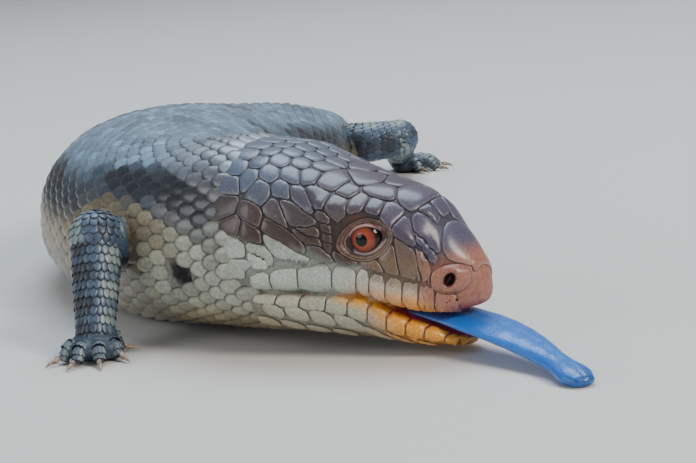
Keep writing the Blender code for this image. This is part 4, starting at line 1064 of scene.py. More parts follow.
class SKINK_OT_limb_scales(bpy.types.Operator):
    """Lay small scales over the legs, feet and toes"""

    bl_idname = "skink.limb_scales"
    bl_label = "Limb scales"

    def execute(self, context):
        shape = scale_shape("small_scale_shape", 8, 2.2, 0.13, 0.16)
        material = scaly_material("limb_scale_finish", 0.40, 0.30, 1500.0, 0.2, 0.2, joint_shade_from=0.7)
        spots = []
        for order, name in enumerate(LIMBS):
            parts, pad = limb_parts(name)
            for label, path, (sizes,) in parts:
                small = label.startswith("toe")
                step = 1.1 if small else 1.9
                spots += self.tube_spots(path, sizes, step, 12 if small else 20, order, small)
                if label == "lower":
                    spots += self.knob_spots(path[0], path[0] - path[1], float(sizes[0]), order)
            spots += self.pad_spots(pad, order)
        points = np.array([spot["at"] for spot in spots])
        keep = ~inside_body(points, -0.2) & (points[:, 2] > 0.1)
        spots = [spot for spot, kept in zip(spots, keep) if kept]
        obj = cover_with_scales("limb_scales", shape, material, spots, 17, 0.05)
        finish_piece(obj, material)
        bpy.data.objects.remove(shape)
        return {"FINISHED"}

    def tube_spots(self, path, sizes, step, count, order, small):
        """Scales in rings along a leg or toe, each ring shifted by half a scale."""
        lengths = path_lengths(path)

        def middle(at):
            return np.array([np.interp(at, lengths, path[:, i]) for i in range(3)])

        spots = []
        for r in range(int(lengths[-1] / step) + 1):
            at = min(r * step, lengths[-1])
            ahead = middle(min(at + 0.5, lengths[-1])) - middle(max(at - 0.5, 0.0))
            ahead = ahead / np.linalg.norm(ahead)
            side, lift = side_and_lift(ahead)
            centre = middle(at)
            radius = float(np.interp(at, lengths, sizes))
            wide = 2.0 * math.pi * radius / count
            size = (wide * 1.2, step * 1.75, (wide + step) * (0.32 if small else 0.45))
            for k in range(count):
                angle = 2.0 * math.pi * (k + 0.5 * (r % 2)) / count
                out = side * math.sin(angle) + lift * math.cos(angle)
                colour = limb_colour(np.array(at + order * 3.0), np.array(angle), order * 1.3)
                if small:
                    colour = mix(colour, LEG_PALE, 0.25)
                spots.append(self.spot(centre + out * (radius - 0.25), ahead, out, size, colour,
                                       limb_root(order, 0.0009 * at, 0.05 + 0.12 * angle)))
        return spots

    def knob_spots(self, centre, way, radius, order):
        """Scales over the rounded elbow or knee, in rings round its crown."""
        way = way / np.linalg.norm(way)
        side = unit(np.cross(way, (0.0, 1.0, 0.2)))
        lift = np.cross(side, way)
        spots = []
        for r, t in enumerate(np.arange(0.0, 2.3, 0.30)):
            ring = max(1, int(20 * math.sin(t)))
            for k in range(ring):
                angle = 2.0 * math.pi * (k + 0.5 * (r % 2)) / ring
                out = way * math.cos(t) + (side * math.sin(angle) + lift * math.cos(angle)) * math.sin(t)
                back = -way + out * np.dot(way, out)
                back = back if np.linalg.norm(back) > 0.05 else side
                back = back / np.linalg.norm(back)
                colour = limb_colour(np.array(order * 3.0 - t), np.array(angle), order * 1.3)
                spots.append(self.spot(centre + out * (radius + 0.05), back, out, (2.2, 3.0, 1.9), colour,
                                       limb_root(order, 0.0, 0.84 + 0.003 * k)))
        return spots

    def pad_spots(self, pad, order):
        """Scales over the back of a foot, in rings from its toes to its ankle."""
        centre, ahead, (long, wide, high) = pad
        side = np.cross(ahead, (0.0, 0.0, 1.0))
        spots = []
        for r, t in enumerate(np.arange(0.35, math.pi - 0.3, 0.28)):
            ring = max(6, int(17 * math.sin(t)))
            for k in range(ring):
                angle = math.pi * (-0.62 + 1.24 * (k + 0.5 * (r % 2)) / ring)
                flat = np.array([-math.cos(t), math.sin(t) * math.sin(angle), math.sin(t) * math.cos(angle)])
                at = centre + ahead * flat[0] * long + side * flat[1] * wide
                at = at + np.array([0.0, 0.0, flat[2] * high])
                out = (ahead * flat[0] / long + side * flat[1] / wide + np.array([0, 0, flat[2] / high]))
                out = out / np.linalg.norm(out)
                back = ahead - out * np.dot(ahead, out)
                back = back / max(np.linalg.norm(back), 1e-6)
                colour = limb_colour(np.array(r * 2.0), np.array(angle), order * 1.3)
                spots.append(self.spot(at - out * 0.2, back, out, (1.9, 2.5, 1.3), colour,
                                       limb_root(order, 0.0, 0.9 + 0.004 * k)))
        return spots

    def spot(self, at, back, out, size, colour, root):
        """One scale of a limb, with its free edge toward back."""
        return {"at": at, "axes": (Vector(np.cross(back, out)), Vector(back), Vector(out)), "size": size,
                "colour": colour, "root": root}


# The crown's own middle line, turned a little to the right, and its edges above the brows:
# distances across the skin from the top in mm, at distances behind the snout.
CROWN_MIDDLE = ((0.0, 30.0, 55.0), (2.4, 2.4, 0.0))
CROWN_EDGE = ((5.0, 12.0, 20.0, 30.0, 46.0), (10.0, 13.5, 14.5, 16.0, 19.0))

# Plates of the crown: distance behind the snout in mm, share of the way from the crown's
# middle to its edge, half length in mm and half width as a share.
CROWN_PLATES = {
    "frontonasal": (5.4, 0.0, 3.4, 0.85),
    "prefrontal": (10.5, 0.55, 2.3, 0.46),
    "before_frontal": (11.4, 0.17, 1.5, 0.17),
    "frontal": (15.8, 0.0, 3.4, 0.32),
    "first_supraocular": (14.4, 0.86, 2.2, 0.18),
    "second_supraocular": (17.4, 0.72, 2.2, 0.22),
    "third_supraocular": (20.8, 0.76, 2.2, 0.24),
    "fourth_supraocular": (24.2, 0.78, 2.0, 0.24),
    "fifth_supraocular": (27.8, 0.88, 2.2, 0.20),
    "frontoparietal": (21.8, 0.25, 3.0, 0.20),
    "interparietal": (27.4, 0.0, 3.3, 0.24),
    "behind_brow": (28.0, 0.54, 2.0, 0.15),
    "parietal": (32.0, 0.40, 3.3, 0.26),
    "outer_parietal": (32.6, 0.84, 2.4, 0.17),
}
# Plates of the side of the head: distance, height, half length, half height and turn.
SIDE_PLATES = {
    "nasal": (5.9, 16.4, 3.6, 3.1, 0.0),
    "postnasal": (10.1, 18.9, 1.8, 2.4, 12.0),
    "upper_postnasal": (9.8, 22.6, 2.2, 1.4, 12.0),
    "loreal": (13.5, 20.9, 2.2, 3.2, 10.0),
    "preocular": (17.0, 21.0, 1.6, 2.4, 8.0),
    "front_subocular": (20.8, 20.2, 2.2, 1.1, 0.0),
    "rear_subocular": (26.4, 21.6, 2.5, 1.3, 12.0),
    "low_postocular": (29.4, 24.0, 0.8, 0.9, 0.0),
    "middle_postocular": (29.6, 26.0, 0.8, 0.9, 0.0),
    "high_postocular": (29.9, 28.0, 0.8, 0.9, 0.0),
    "top_postocular": (30.6, 30.2, 1.0, 1.0, 0.0),
    "upper_temporal": (35.8, 34.0, 3.4, 1.5, 12.0),
    "long_temporal": (36.6, 30.7, 6.0, 1.8, 20.0),
    "middle_temporal": (39.2, 27.2, 4.4, 1.8, 12.0),
    "small_temporal": (33.4, 27.6, 1.8, 0.8, 8.0),
    "low_small_temporal": (32.8, 25.6, 2.4, 0.8, 10.0),
    "pale_temporal": (37.3, 23.1, 4.0, 1.7, 6.0),
    "last_temporal": (31.0, 23.2, 2.0, 1.2, 6.0),
    "rear_temporal": (43.6, 23.6, 2.0, 1.5, 0.0),
    "corner_plate": (42.8, 20.6, 2.4, 1.2, 8.0),
    "upper_rear_temporal": (45.0, 31.4, 2.7, 1.7, 6.0),
    "middle_rear_temporal": (45.4, 27.2, 2.2, 1.9, 0.0),
    "cheek_first": (48.4, 24.2, 2.0, 1.8, 0.0),
    "cheek_second": (49.6, 28.8, 2.2, 1.9, 0.0),
    "cheek_third": (47.4, 20.0, 2.0, 1.6, 0.0),
}
# Edges between the plates of each lip, in mm behind the snout, and the plates' height there.
UPPER_LIP_EDGES = (4.9, 9.2, 12.2, 15.2, 18.5, 21.7, 24.3, 29.2, 36.2, 42.0, 46.0)
UPPER_LIP_HEIGHTS = (3.7, 5.7, 6.3, 6.6, 6.5, 6.3, 6.3, 6.6, 6.4, 4.8, 4.3)
LOWER_LIP_EDGES = (4.7, 7.9, 11.6, 15.0, 18.6, 22.2, 26.1, 30.5, 35.9, 40.9, 45.9)
LOWER_LIP_HEIGHTS = (1.2, 2.1, 3.2, 4.0, 4.7, 5.3, 4.4, 3.6, 2.9, 2.4, 2.0)
# Plates under the lower lip: distance, height, half length and half height.
CHIN_PLATES = ((13.0, 3.1, 2.2, 1.0), (17.4, 3.7, 2.4, 1.3), (22.0, 5.0, 2.5, 1.7), (26.8, 7.4, 2.9, 2.2),
               (32.0, 8.9, 2.6, 2.0), (37.0, 10.0, 2.5, 1.8), (41.8, 10.8, 2.3, 1.6),
               (29.4, 4.9, 2.4, 1.7), (34.4, 5.9, 2.4, 1.7), (39.2, 7.0, 2.4, 1.7), (44.0, 8.0, 2.2, 1.7))
NAPE_ROWS = (36.8, 40.4, 44.2, 48.2, 52.2)
# How far apart two plates may be in mm and still meet.
NEAR = 16.0


def crown_arc(place, share):
    """Turn a share of the way from the crown's middle to an edge into distance across."""
    middle = float(np.interp(place, *CROWN_MIDDLE))
    edge = float(np.interp(place, *CROWN_EDGE))
    return middle + share * (edge - middle if share > 0.0 else edge + middle)


def seed_at(name, place, arc, long, wide, turn):
    """One plate before it is cut: its middle and half sizes in distance and arc, and its turn."""
    return {"name": name, "kind": "head" if place < HEAD_END else "body", "at": (place, arc),
            "half": (long, wide), "turn": turn}


def plate_seeds():
    """List every plate above the lips with its centre and half sizes in distance and arc."""
    seeds = []
    for name, (place, share, long, wide) in CROWN_PLATES.items():
        for sign in (1.0,) if share == 0.0 else (1.0, -1.0):
            inner = crown_arc(place, (share - wide) * sign)
            outer = crown_arc(place, (share + wide) * sign)
            seeds.append(seed_at(name, place, (inner + outer) / 2.0, long, abs(outer - inner) / 2.0, 0.0))
    for name, (place, height, long, wide, turn) in SIDE_PLATES.items():
        arc = arc_at_height(HEAD if place < HEAD_END else BODY, place, height)
        for sign in (1.0, -1.0):
            seeds.append(seed_at(name, place, arc * sign, long, wide, -math.radians(turn) * sign))
    for row, place in enumerate(NAPE_ROWS):
        for k in range(-5, 6):
            arc = (k + 0.5 * (row % 2)) * 4.7
            near = [seed for seed in seeds if seed["name"] != "nape"
                    and abs(seed["at"][0] - place) < 3.4 and abs(seed["at"][1] - arc) < 3.2]
            if not near and abs(arc) < 24.0:
                seeds.append(seed_at("nape", place, arc, 2.4, 2.4, 0.0))
    return seeds


def arc_at_height(length, place, height):
    """Return how far across the skin from the top a height lies, in mm."""
    angles = np.linspace(0.0, math.pi, 400)
    heights = length.section(np.full(400, place), angles, 0.0)[1]
    return length.arc_of(place, float(np.interp(-height, -heights, angles)))


def side_at(place, height):
    """Return how far out the head's side lies at a distance and height, in mm."""
    angles = np.linspace(0.2, 2.2, 200)
    side, heights = HEAD.section(np.full(200, place), angles, 0.0)
    return float(np.interp(-height, -heights, side))


def side_spot(place, height, sign):
    """Return the spot on the head's side at a distance and height: sign 0 is on the middle plane."""
    x, y, _, right = spine(place)
    side = side_at(place, height) * sign
    return np.array([float(x) + float(right[0]) * side, float(y) + float(right[1]) * side, height])


def lip_seeds():
    """List the plates of both lips between their edges, right and left."""
    seeds = []
    for kind, edges, heights in (("head", UPPER_LIP_EDGES, UPPER_LIP_HEIGHTS),
                                 ("jaw", LOWER_LIP_EDGES, LOWER_LIP_HEIGHTS)):
        for i in range(len(edges) - 1):
            for sign in (1, -1):
                seeds.append({"kind": kind, "edge": (edges[i], edges[i + 1]), "sign": sign,
                              "high": (heights[i], heights[i + 1])})
    return seeds


def mine_share(mine, theirs):
    """Where between two middles the plates are equally near, as a share of the way."""
    return theirs / max(mine + theirs, 1e-6)


def cut_ring(ring, spot, away):
    """Keep the part of a bulging ring that lies behind a line."""
    depths = (ring - spot) @ away
    kept = []
    for i in range(len(ring)):
        j = (i + 1) % len(ring)
        if depths[i] <= 0.0:
            kept.append(ring[i])
        if (depths[i] < 0.0) != (depths[j] < 0.0) and depths[i] != depths[j]:
            share = depths[i] / (depths[i] - depths[j])
            kept.append(ring[i] + (ring[j] - ring[i]) * share)
    return np.array(kept)


def even_ring(corners, count):
    """Space points evenly along a closed ring."""
    closed = np.vstack([corners, corners[:1]])
    lengths = path_lengths(closed)
    at = np.linspace(0.0, lengths[-1], count, endpoint=False)
    return np.stack([np.interp(at, lengths, closed[:, i]) for i in range(2)], axis=1)


def relax_ring(ring, share):
    """Draw each point of a closed ring toward its neighbours."""
    return ring * (1.0 - share) + (np.roll(ring, 1, axis=0) + np.roll(ring, -1, axis=0)) * (share / 2.0)


class PlateMaker:
    """Cut the head's skin into plates that meet along narrow joints, and dome each one."""

    def __init__(self):
        self.points = []
        self.faces = []
        self.colours = []
        self.edges = []
        self.flat = []
        self.chance = np.random.default_rng(21)

    def norm(self, seed, place, arc):
        """How far a spot is from a plate's middle, as a share of the plate's half sizes."""
        da = place - seed["at"][0]
        db = arc - seed["at"][1]
        c, s = math.cos(seed["turn"]), math.sin(seed["turn"])
        along = (da * c + db * s) / seed["half"][0]
        across = (-da * s + db * c) / seed["half"][1]
        return (np.abs(along) ** 2.6 + np.abs(across) ** 2.6) ** (1.0 / 2.6)

    def slope(self, seed, spot):
        """Return the way in which the distance from a plate's middle grows fastest at a spot."""
        step = 0.01
        place, arc = spot
        rise = (self.norm(seed, place + step, arc) - self.norm(seed, place - step, arc),
                self.norm(seed, place, arc + step) - self.norm(seed, place, arc - step))
        return unit(np.array(rise, float))

    def outline(self, seed, others, limits, corners, reach):
        """Trim a wide oval by a straight joint with each neighbour, then by the openings."""
        c, s = math.cos(seed["turn"]), math.sin(seed["turn"])
        turns = circle(32)
        long = bulge(np.cos(turns), 0.85) * seed["half"][0] * reach
        wide = bulge(np.sin(turns), 0.85) * seed["half"][1] * reach
        middle = np.array(seed["at"], float)
        edge = middle + np.stack([long * c - wide * s, long * s + wide * c], axis=1)
        for other in others:
            far = np.array(other["at"], float)
            mine = float(self.norm(seed, far[0], far[1]))
            theirs = float(self.norm(other, middle[0], middle[1]))
            spot = middle + (far - middle) * mine_share(mine, theirs)
            away = unit(self.slope(seed, spot) - self.slope(other, spot))
            if np.dot(away, far - middle) <= 0.0:
                away = unit(far - middle)
            edge = cut_ring(edge, spot, away)
            if len(edge) < 3:
                return None
        edge = even_ring(edge, corners)
        heart = edge.mean(axis=0)
        if not limits(*heart):
            heart = middle
        steps = np.linspace(0.0, 1.0, 40)[:, None]
        ring = []
        for point in edge:
            way = heart + (point - heart) * steps
            shut = np.nonzero(~limits(way[:, 0], way[:, 1]))[0]
            ring.append(way[max(shut[0] - 1, 2)] if len(shut) else point)
        return relax_ring(relax_ring(np.array(ring), 0.5), 0.5)

    def add(self, length, edge, centre, colour_of, joint=0.09, height=0.55, shade=1.0, blend=0.25):
        """Raise one plate over its outline, given in distance and arc."""
        centre = np.asarray(centre)
        count = len(edge)
        reach = np.linalg.norm(edge - centre, axis=1, keepdims=True)
        inner = centre + (edge - centre) * np.maximum(1.0 - joint / np.maximum(reach, 0.3), 0.3)
        mean = max(float(reach.mean()), 0.5)
        # Each row: share of the way out, rise as a share of the height, and how near the edge it is.
        rows = ((1.0, -0.55, 1.0), (1.0, 0.02, 0.97), (1.0 - 0.13 / mean, 0.30, 0.90),
                (1.0 - 0.32 / mean, 0.46, 0.80), (0.66, 0.60, 0.45), (0.33, 0.66, 0.2))
        flat = np.concatenate([centre + (inner - centre) * row[0] for row in rows] + [centre[None]] * 2)
        highs = np.append(np.repeat([row[1] * height for row in rows], count),
                          [0.68 * height, -0.55 * height])
        marks = np.append(np.repeat([row[2] for row in rows], count), [0.0, 1.0])
        angles = length.angle_of(flat[:, 0], flat[:, 1])
        points, *_, out = length.frame_at(flat[:, 0], angles, -0.2)
        points = points + out * highs[:, None]
        faces = ring_faces(len(rows), count, False)
        top = len(rows) * count
        for i in range(count):
            j = (i + 1) % count
            faces.append((top - count + i, top - count + j, top))
            faces.append((j, i, top + 1))
        rim = points[count * 3]
        if np.dot(np.cross(points[count * 3 + 1] - rim, points[top] - rim), out[count * 3]) < 0.0:
            faces = [face[::-1] for face in faces]
        colours = colour_of(flat[:, 0], points[:, 2]) * shade
        colours = colours * blend + colours[top] * (1.0 - blend)
        self.keep(points, faces, np.clip(colours, 0.0, 1.0), marks, body_root(flat[:, 0], angles))

    def keep(self, points, faces, colours, marks, root):
        """Put a finished plate with the others."""
        start = sum(len(chunk) for chunk in self.points)
        self.points.append(to_world(points))
        self.faces += [tuple(index + start for index in face) for face in faces]
        self.colours.append(colours)
        self.edges.append(marks)
        self.flat.append(np.stack(root, axis=1))

    def add_nostril(self, sign, colour_of):
        """Raise the nasal plate of one side with a rimmed hole that opens into the snout, darkened inside as
        painted shade.
        """
        count = 40
        turns = circle(count)
        c, s = np.cos(turns), np.sin(turns)
        rim = np.stack([bulge(c, 0.8) * 3.4, bulge(s, 0.8) * 2.9], axis=1)
        hole = np.stack([c * 0.82 - s * 0.16, s * 1.12], axis=1)
        # Each row: ring round the hole, rise, nearness to the edge and painted shade into the hole.
        rows = [(rim, -0.60, 1.0, 0.0), (rim, -0.10, 0.97, 0.0), (rim * 0.94, 0.12, 0.88, 0.0),
                (rim * 0.55 + hole * 1.25, 0.24, 0.4, 0.0), (hole * 1.9, 0.36, 0.2, 0.0),
                (hole * 1.6, 0.48, 0.2, 0.08), (hole * 1.32, 0.34, 0.2, 0.40),
                (hole * 1.15, -0.15, 0.2, 0.85), (hole, -0.9, 0.2, 1.0), (hole * 0.55, -1.5, 0.2, 1.0)]
        flat = np.concatenate([row[0] for row in rows] + [np.zeros((1, 2))])
        flat = flat + np.array([NOSTRIL[0], NOSTRIL[1] - 0.1])
        highs, marks, hole_shades = [np.append(np.repeat([row[i] for row in rows], count), hub)
                               for i, hub in ((1, -1.7), (2, 0.2), (3, 1.0))]
        points = []
        for (place, height), high in zip(flat, highs):
            place = max(place, 2.2)
            here = side_spot(place, height, sign)
            back = side_spot(place + 0.3, height, sign) - here
            up = side_spot(place, height + 0.3, sign) - here
            out = unit(np.cross(back, up))
            out = out if np.dot(out, here - side_spot(place, height, 0.0)) > 0.0 else -out
            points.append(here + out * (high - 0.05))
        points = np.array(points)
        faces = ring_faces(len(rows), count, False)
        hub = len(rows) * count
        faces += [(hub - count + i, hub - count + (i + 1) % count, hub) for i in range(count)]
        if sign < 0.0:
            faces = [face[::-1] for face in faces]
        a, b, c = points[list(faces[count * 2][:3])]
        if np.dot(np.cross(b - a, c - a), a - side_spot(NOSTRIL[0], NOSTRIL[1], 0.0)) < 0.0:
            faces = [face[::-1] for face in faces]
        turn = sign * (0.28 - 0.004 * (flat[:, 1] - NOSTRIL[1])) / 0.46 * math.pi
        # The hole's colour is darkened toward its bottom as painted shade.
        self.keep(points, faces, mix(colour_of(flat[:, 0], points[:, 2]), (0.035, 0.008, 0.006), hole_shades),
                  marks, body_root(flat[:, 0], turn))

    def build(self, name):
        obj = new_mesh_object(name, np.concatenate(self.points), self.faces)
        colour_points(obj, "marking", np.concatenate(self.colours))
        store_points(obj, "edge", "FLOAT", np.concatenate(self.edges))
        lay_bake_map(obj.data, np.concatenate(self.flat))
        return obj


class SKINK_OT_head_plates(bpy.types.Operator):
    """Lay the large plates of the crown, cheeks, lips and chin"""

    bl_idname = "skink.head_plates"
    bl_label = "Head plates"

    def execute(self, context):
        maker = PlateMaker()
        seeds = plate_seeds()

        def above_lip(place, arc):
            angle = HEAD.angle_of(np.minimum(place, HEAD_END), np.abs(arc))
            height = HEAD.section(place, angle, 0.0)[1]
            lip = np.interp(place, LIP_PLACES, LIP_LEVELS)
            eye = np.hypot((place - EYE_CENTRE[0]) / 5.7, (height - EYE_CENTRE[1] - 0.7) / 4.9)
            rise = np.interp(place, UPPER_LIP_EDGES, UPPER_LIP_HEIGHTS)
            nose = (np.abs((place - NOSTRIL[0]) / 3.55) ** 2.6
                    + np.abs((height - NOSTRIL[1] + 0.1) / 3.05) ** 2.6)
            open_skin = (height > lip + rise + 0.35) & (eye > 1.0) & (nose > 1.0) & (place > 2.0)
            return open_skin | (place > HEAD_END + 0.5)

        for seed in seeds:
            # The nasal seed only keeps its neighbours clear: add_nostril makes that plate.
            if seed["name"] == "nasal":
                continue
            near = [other for other in seeds if other is not seed
                    and abs(other["at"][0] - seed["at"][0]) < NEAR
                    and abs(other["at"][1] - seed["at"][1]) < NEAR]
            edge = maker.outline(seed, near, above_lip, 32, 1.7)
            if edge is None:
                continue
            maker.add(LENGTHS[seed["kind"]], edge, edge.mean(axis=0), head_tint, height=0.60,
                      shade=maker.chance.uniform(0.80, 1.12),
                      blend=1.0 if seed["name"] == "frontonasal" else 0.25)
        for sign in (1.0, -1.0):
            maker.add_nostril(sign, head_tint)
        for seed in lip_seeds():
            self.add_lip(maker, seed)
        for place, height, long, wide in CHIN_PLATES:
            self.add_chin(maker, place, height, long, wide)
        obj = maker.build("head_plates")
        # The plates' pale rims are painted highlights.
        material = scaly_material("head_plate_finish", 0.34, 0.35, 2600.0, 0.22, 0.3,
                                  rim=(0.42, 0.38, 0.40, 1.0), rim_highlight_share=0.20)
        finish_piece(obj, material)
        return {"FINISHED"}

    def add_lip(self, maker, seed):
        """One plate of the lips, wrapped round the edge of the mouth and up or down the side."""
        upper = seed["kind"] == "head"
        length = LENGTHS[seed["kind"]]
        before, after = seed["edge"]
        row = np.linspace(0.0, 1.0, 7)
        corners = [(share, 0.0) for share in row] + [(1.0, 0.33), (1.0, 0.66)]
        corners += [(share, 1.0) for share in row[::-1]] + [(0.0, 0.66), (0.0, 0.33)]
        edge = []
        for share, rise in corners:
            place = before + (after - before) * share - 0.5 * rise * (1.0 if upper else -1.0)
            place = min(max(place, length.start + 0.05), length.end)
            top, bottom = [float(value) for value in length.read(place)[1:3]]
            crest = 1.0 - 0.10 * (2.0 * share - 1.0) ** 2
            tall = seed["high"][0] * (1.0 - share) + seed["high"][1] * share
            reach = (tall * crest - 0.12) * rise
            if upper:
                arc = arc_at_height(HEAD, place, bottom + 0.12 + reach) + 0.7 * (1.0 - rise) ** 4
            else:
                arc = arc_at_height(JAW, place, top - 0.12 - reach) - 0.8 * (1.0 - rise) ** 4
            edge.append((place, arc * seed["sign"]))
        smooth = relax_ring(np.array(edge), 0.3)
        maker.add(length, smooth, smooth.mean(axis=0), upper_lip_tint if upper else lower_lip_tint,
                  joint=0.10, height=0.6, shade=maker.chance.uniform(0.94, 1.06), blend=1.0)

    def add_chin(self, maker, place, height, long, wide):
        """One plate under the lower lip, on both sides."""
        arc = arc_at_height(JAW, place, height)
        turns = circle(24)
        along = bulge(np.cos(turns), 0.8) * long
        across = bulge(np.sin(turns), 0.8) * wide
        for sign in (1, -1):
            edge = np.stack([np.minimum(place + along, JAW.end), (arc + across) * sign], axis=1)
            maker.add(JAW, edge, (place, arc * sign), lower_lip_tint, joint=0.1, height=0.5,
                      shade=maker.chance.uniform(0.9, 1.1))


def head_tint(place, height):
    return head_colour(place, height, np.where(place < HEAD_END, HEAD.read(place)[1], BODY.read(place)[1]))


def upper_lip_tint(place, height):
    return head_colour(place, height, HEAD.read(place)[1])


def lower_lip_tint(place, height):
    return jaw_colour(place, height, JAW.read(place)[1])


class SKINK_OT_eyes(bpy.types.Operator):
    """Round the eyes and set their lids"""

    bl_idname = "skink.eyes"
    bl_label = "Eyes"

    def execute(self, context):
        settings = context.scene.skink
        iris = self.iris_material(settings)
        lid = scaly_material("lid_finish", 0.35, 0.35, 2400.0, 0.4, 0.3)
        for sign, label in ((1.0, "right"), (-1.0, "left")):
            x, y, back, right = spine(EYE_CENTRE[0])
            outward = np.array([right[0], right[1], 0.0]) * sign
            along = np.array([back[0], back[1], 0.0])
            centre = np.array([x, y, EYE_CENTRE[1]]) + outward * EYE_CENTRE[2]
            look = unit(outward - along * 0.17 + np.array([0.0, 0.0, 0.04]))
            self.eyeball(label, centre, look, iris)
            self.lids(label, centre, along, outward, lid)
        return {"FINISHED"}

    def eyeball(self, label, centre, look, material):
        """A ball with a cornea that bulges over the iris, facing outward."""
        side = unit(np.cross(look, (0.0, 0.0, 1.0)))
        lift = np.cross(side, look)
        turn = circle(48)
        rings = []
        marks = []
        for t in np.linspace(0.02, math.pi - 0.02, 40):
            radius = EYE_RADIUS - 0.12 + 0.22 * math.exp(-(t / 0.55) ** 4)
            rings.append(centre + look * math.cos(t) * radius
                         + np.outer(np.sin(turn) * math.sin(t) * radius, side)
                         + np.outer(np.cos(turn) * math.sin(t) * radius, lift))
            marks += [t] * len(turn)
        points, faces = closed_loft(rings)
        obj = new_mesh_object("eyeball_" + label, to_world(points), faces)
        turn_outward(obj)
        store_points(obj, "from_middle", "FLOAT", marks + [0.0, math.pi])
        finish_piece(obj, material, ["eye_" + label])

    def iris_material(self, settings):
        """Black pupil, ringed iris and dark rim, by the angle from the middle of the look."""
        material, tree, shader = start_material("eye_finish", Roughness=0.06, Coat_Weight=0.15,
                                                Coat_Roughness=0.03, Specular_IOR_Level=0.28)
        reach = node(tree, "ShaderNodeAttribute", (-1000, 0), _attribute_name="from_middle")
        where = node(tree, "ShaderNodeTexCoord", (-1000, -300))
        grain = node(tree, "ShaderNodeTexNoise", (-800, -300), Scale=2600.0, Detail=4.0)
        scaled = node(tree, "ShaderNodeMath", (-800, 0), _operation="MULTIPLY")
        scaled.inputs[1].default_value = 1.0 / math.pi
        ramp = node(tree, "ShaderNodeValToRGB", (-600, 0))
        colour = settings.iris_colour
        set_ramp(ramp, (0.0, (0.002, 0.002, 0.003)), (1.0, (0.03, 0.015, 0.012)),
                 ((0.094, (0.003, 0.002, 0.003)), (0.104, dim(colour, 1.35)), (0.16, colour),
                  (0.215, dim(colour, 0.7)), (0.232, (0.06, 0.02, 0.016)), (0.26, (0.02, 0.008, 0.008))))
        blend = node(tree, "ShaderNodeMix", (-300, 0), _data_type="RGBA", _blend_type="MULTIPLY", Factor=0.5)
        join(tree, (where, "Object", grain, "Vector"), (reach, "Fac", scaled, 0),
             (scaled, "Value", ramp, "Fac"), (ramp, "Color", blend, "A"), (grain, "Color", blend, "B"),
             (blend, "Result", shader, "Base Color"))
        return material

    def lids(self, label, centre, along, outward, material):
        """Lids from the wet margin on the eyeball, over a pale rim, out to the folds of the socket."""
        count = 96
        tilt = math.radians(-14.0)
        look = unit(outward - along * 0.28 + np.array([0.0, 0.0, 0.03]))
        level = unit(along - look * np.dot(along, look))
        lift_way = unit(np.array([0.0, 0.0, 1.0]) - look * look[2])
        # Each row: reach beyond the opening, lift, colour.
        profile = ((-0.25, -0.20, (0.02, 0.006, 0.006)), (0.0, 0.12, (0.05, 0.016, 0.014)),
                   (0.18, 0.34, (0.30, 0.19, 0.17)), (0.45, 0.42, (0.50, 0.37, 0.34)),
                   (0.72, 0.32, (0.36, 0.24, 0.22)), (0.92, 0.10, (0.05, 0.025, 0.02)),
                   (1.15, 0.34, (0.22, 0.12, 0.085)), (1.42, 0.30, (0.26, 0.15, 0.10)),
                   (1.62, 0.06, (0.07, 0.035, 0.025)), (1.88, 0.28, (0.22, 0.13, 0.085)),
                   (2.15, 0.20, (0.19, 0.11, 0.07)), (2.45, -0.70, (0.05, 0.03, 0.02)))
        rows = []
        colours = []
        for k in range(count):
            angle = 2.0 * math.pi * k / count
            c, s = math.cos(angle), math.sin(angle)
            for reach, lift, tint in profile:
                u = c * (3.35 + reach) * (1.0 + 0.12 * abs(c) ** 5)
                v = s * (2.62 + reach * (0.72 if s > 0 else 0.82))
                ahead = u * math.cos(tilt) - v * math.sin(tilt)
                up = u * math.sin(tilt) + v * math.cos(tilt)
                ball = math.sqrt(max((EYE_RADIUS - 0.1) ** 2 - ahead * ahead - up * up, 0.0))
                flat = level * ahead + lift_way * up
                # How far out the head's skin lies here, found in a few steps.
                skin = 3.0
                for _ in range(6):
                    spot = flat + look * skin
                    there = side_at(EYE_CENTRE[0] + float(np.dot(spot, along)), EYE_CENTRE[1] + spot[2])
                    skin += (there - EYE_CENTRE[2] - float(np.dot(spot, outward))) * 0.8
                share = float(step_between(0.1, 1.7, reach))
                bead = 0.14 * math.cos(k * 2.0 * math.pi / 6.0) if 1.0 < reach < 2.3 else 0.0
                out = max(ball, skin - 0.9) * (1.0 - share) + skin * share + lift + bead * lift
                rows.append(centre + flat + look * out)
                # The folds above the eye are darkened to 0.55 as painted shade under the brow, and made
                # redder.
                shade = (1.0 + bead) * (0.55 if s > 0.1 and reach > 1.0 else 1.0)
                red = tint[0] * shade * (1.25 if s > 0.1 else 1.0)
                colours.append((red, tint[1] * shade, tint[2] * shade))
        width = len(profile)
        faces = []
        for k in range(count):
            n = (k + 1) % count
            for r in range(width - 1):
                faces.append((k * width + r, k * width + r + 1, n * width + r + 1, n * width + r))
        inner = len(rows)
        for k in range(count):
            for r in (0, width - 1):
                rows.append(rows[k * width + r] - look * 1.6)
                colours.append((0.04, 0.02, 0.02))
        for k in range(count):
            n = (k + 1) % count
            faces.append((k * width, n * width, inner + n * 2, inner + k * 2))
            faces.append((n * width + width - 1, k * width + width - 1, inner + k * 2 + 1, inner + n * 2 + 1))
            faces.append((inner + k * 2, inner + n * 2, inner + n * 2 + 1, inner + k * 2 + 1))
        obj = new_mesh_object("lids_" + label, to_world(np.array(rows)), faces)
        turn_outward(obj)
        colour_points(obj, "marking", colours)
        store_points(obj, "edge", "FLOAT", np.zeros(len(rows)))
        finish_piece(obj, material)


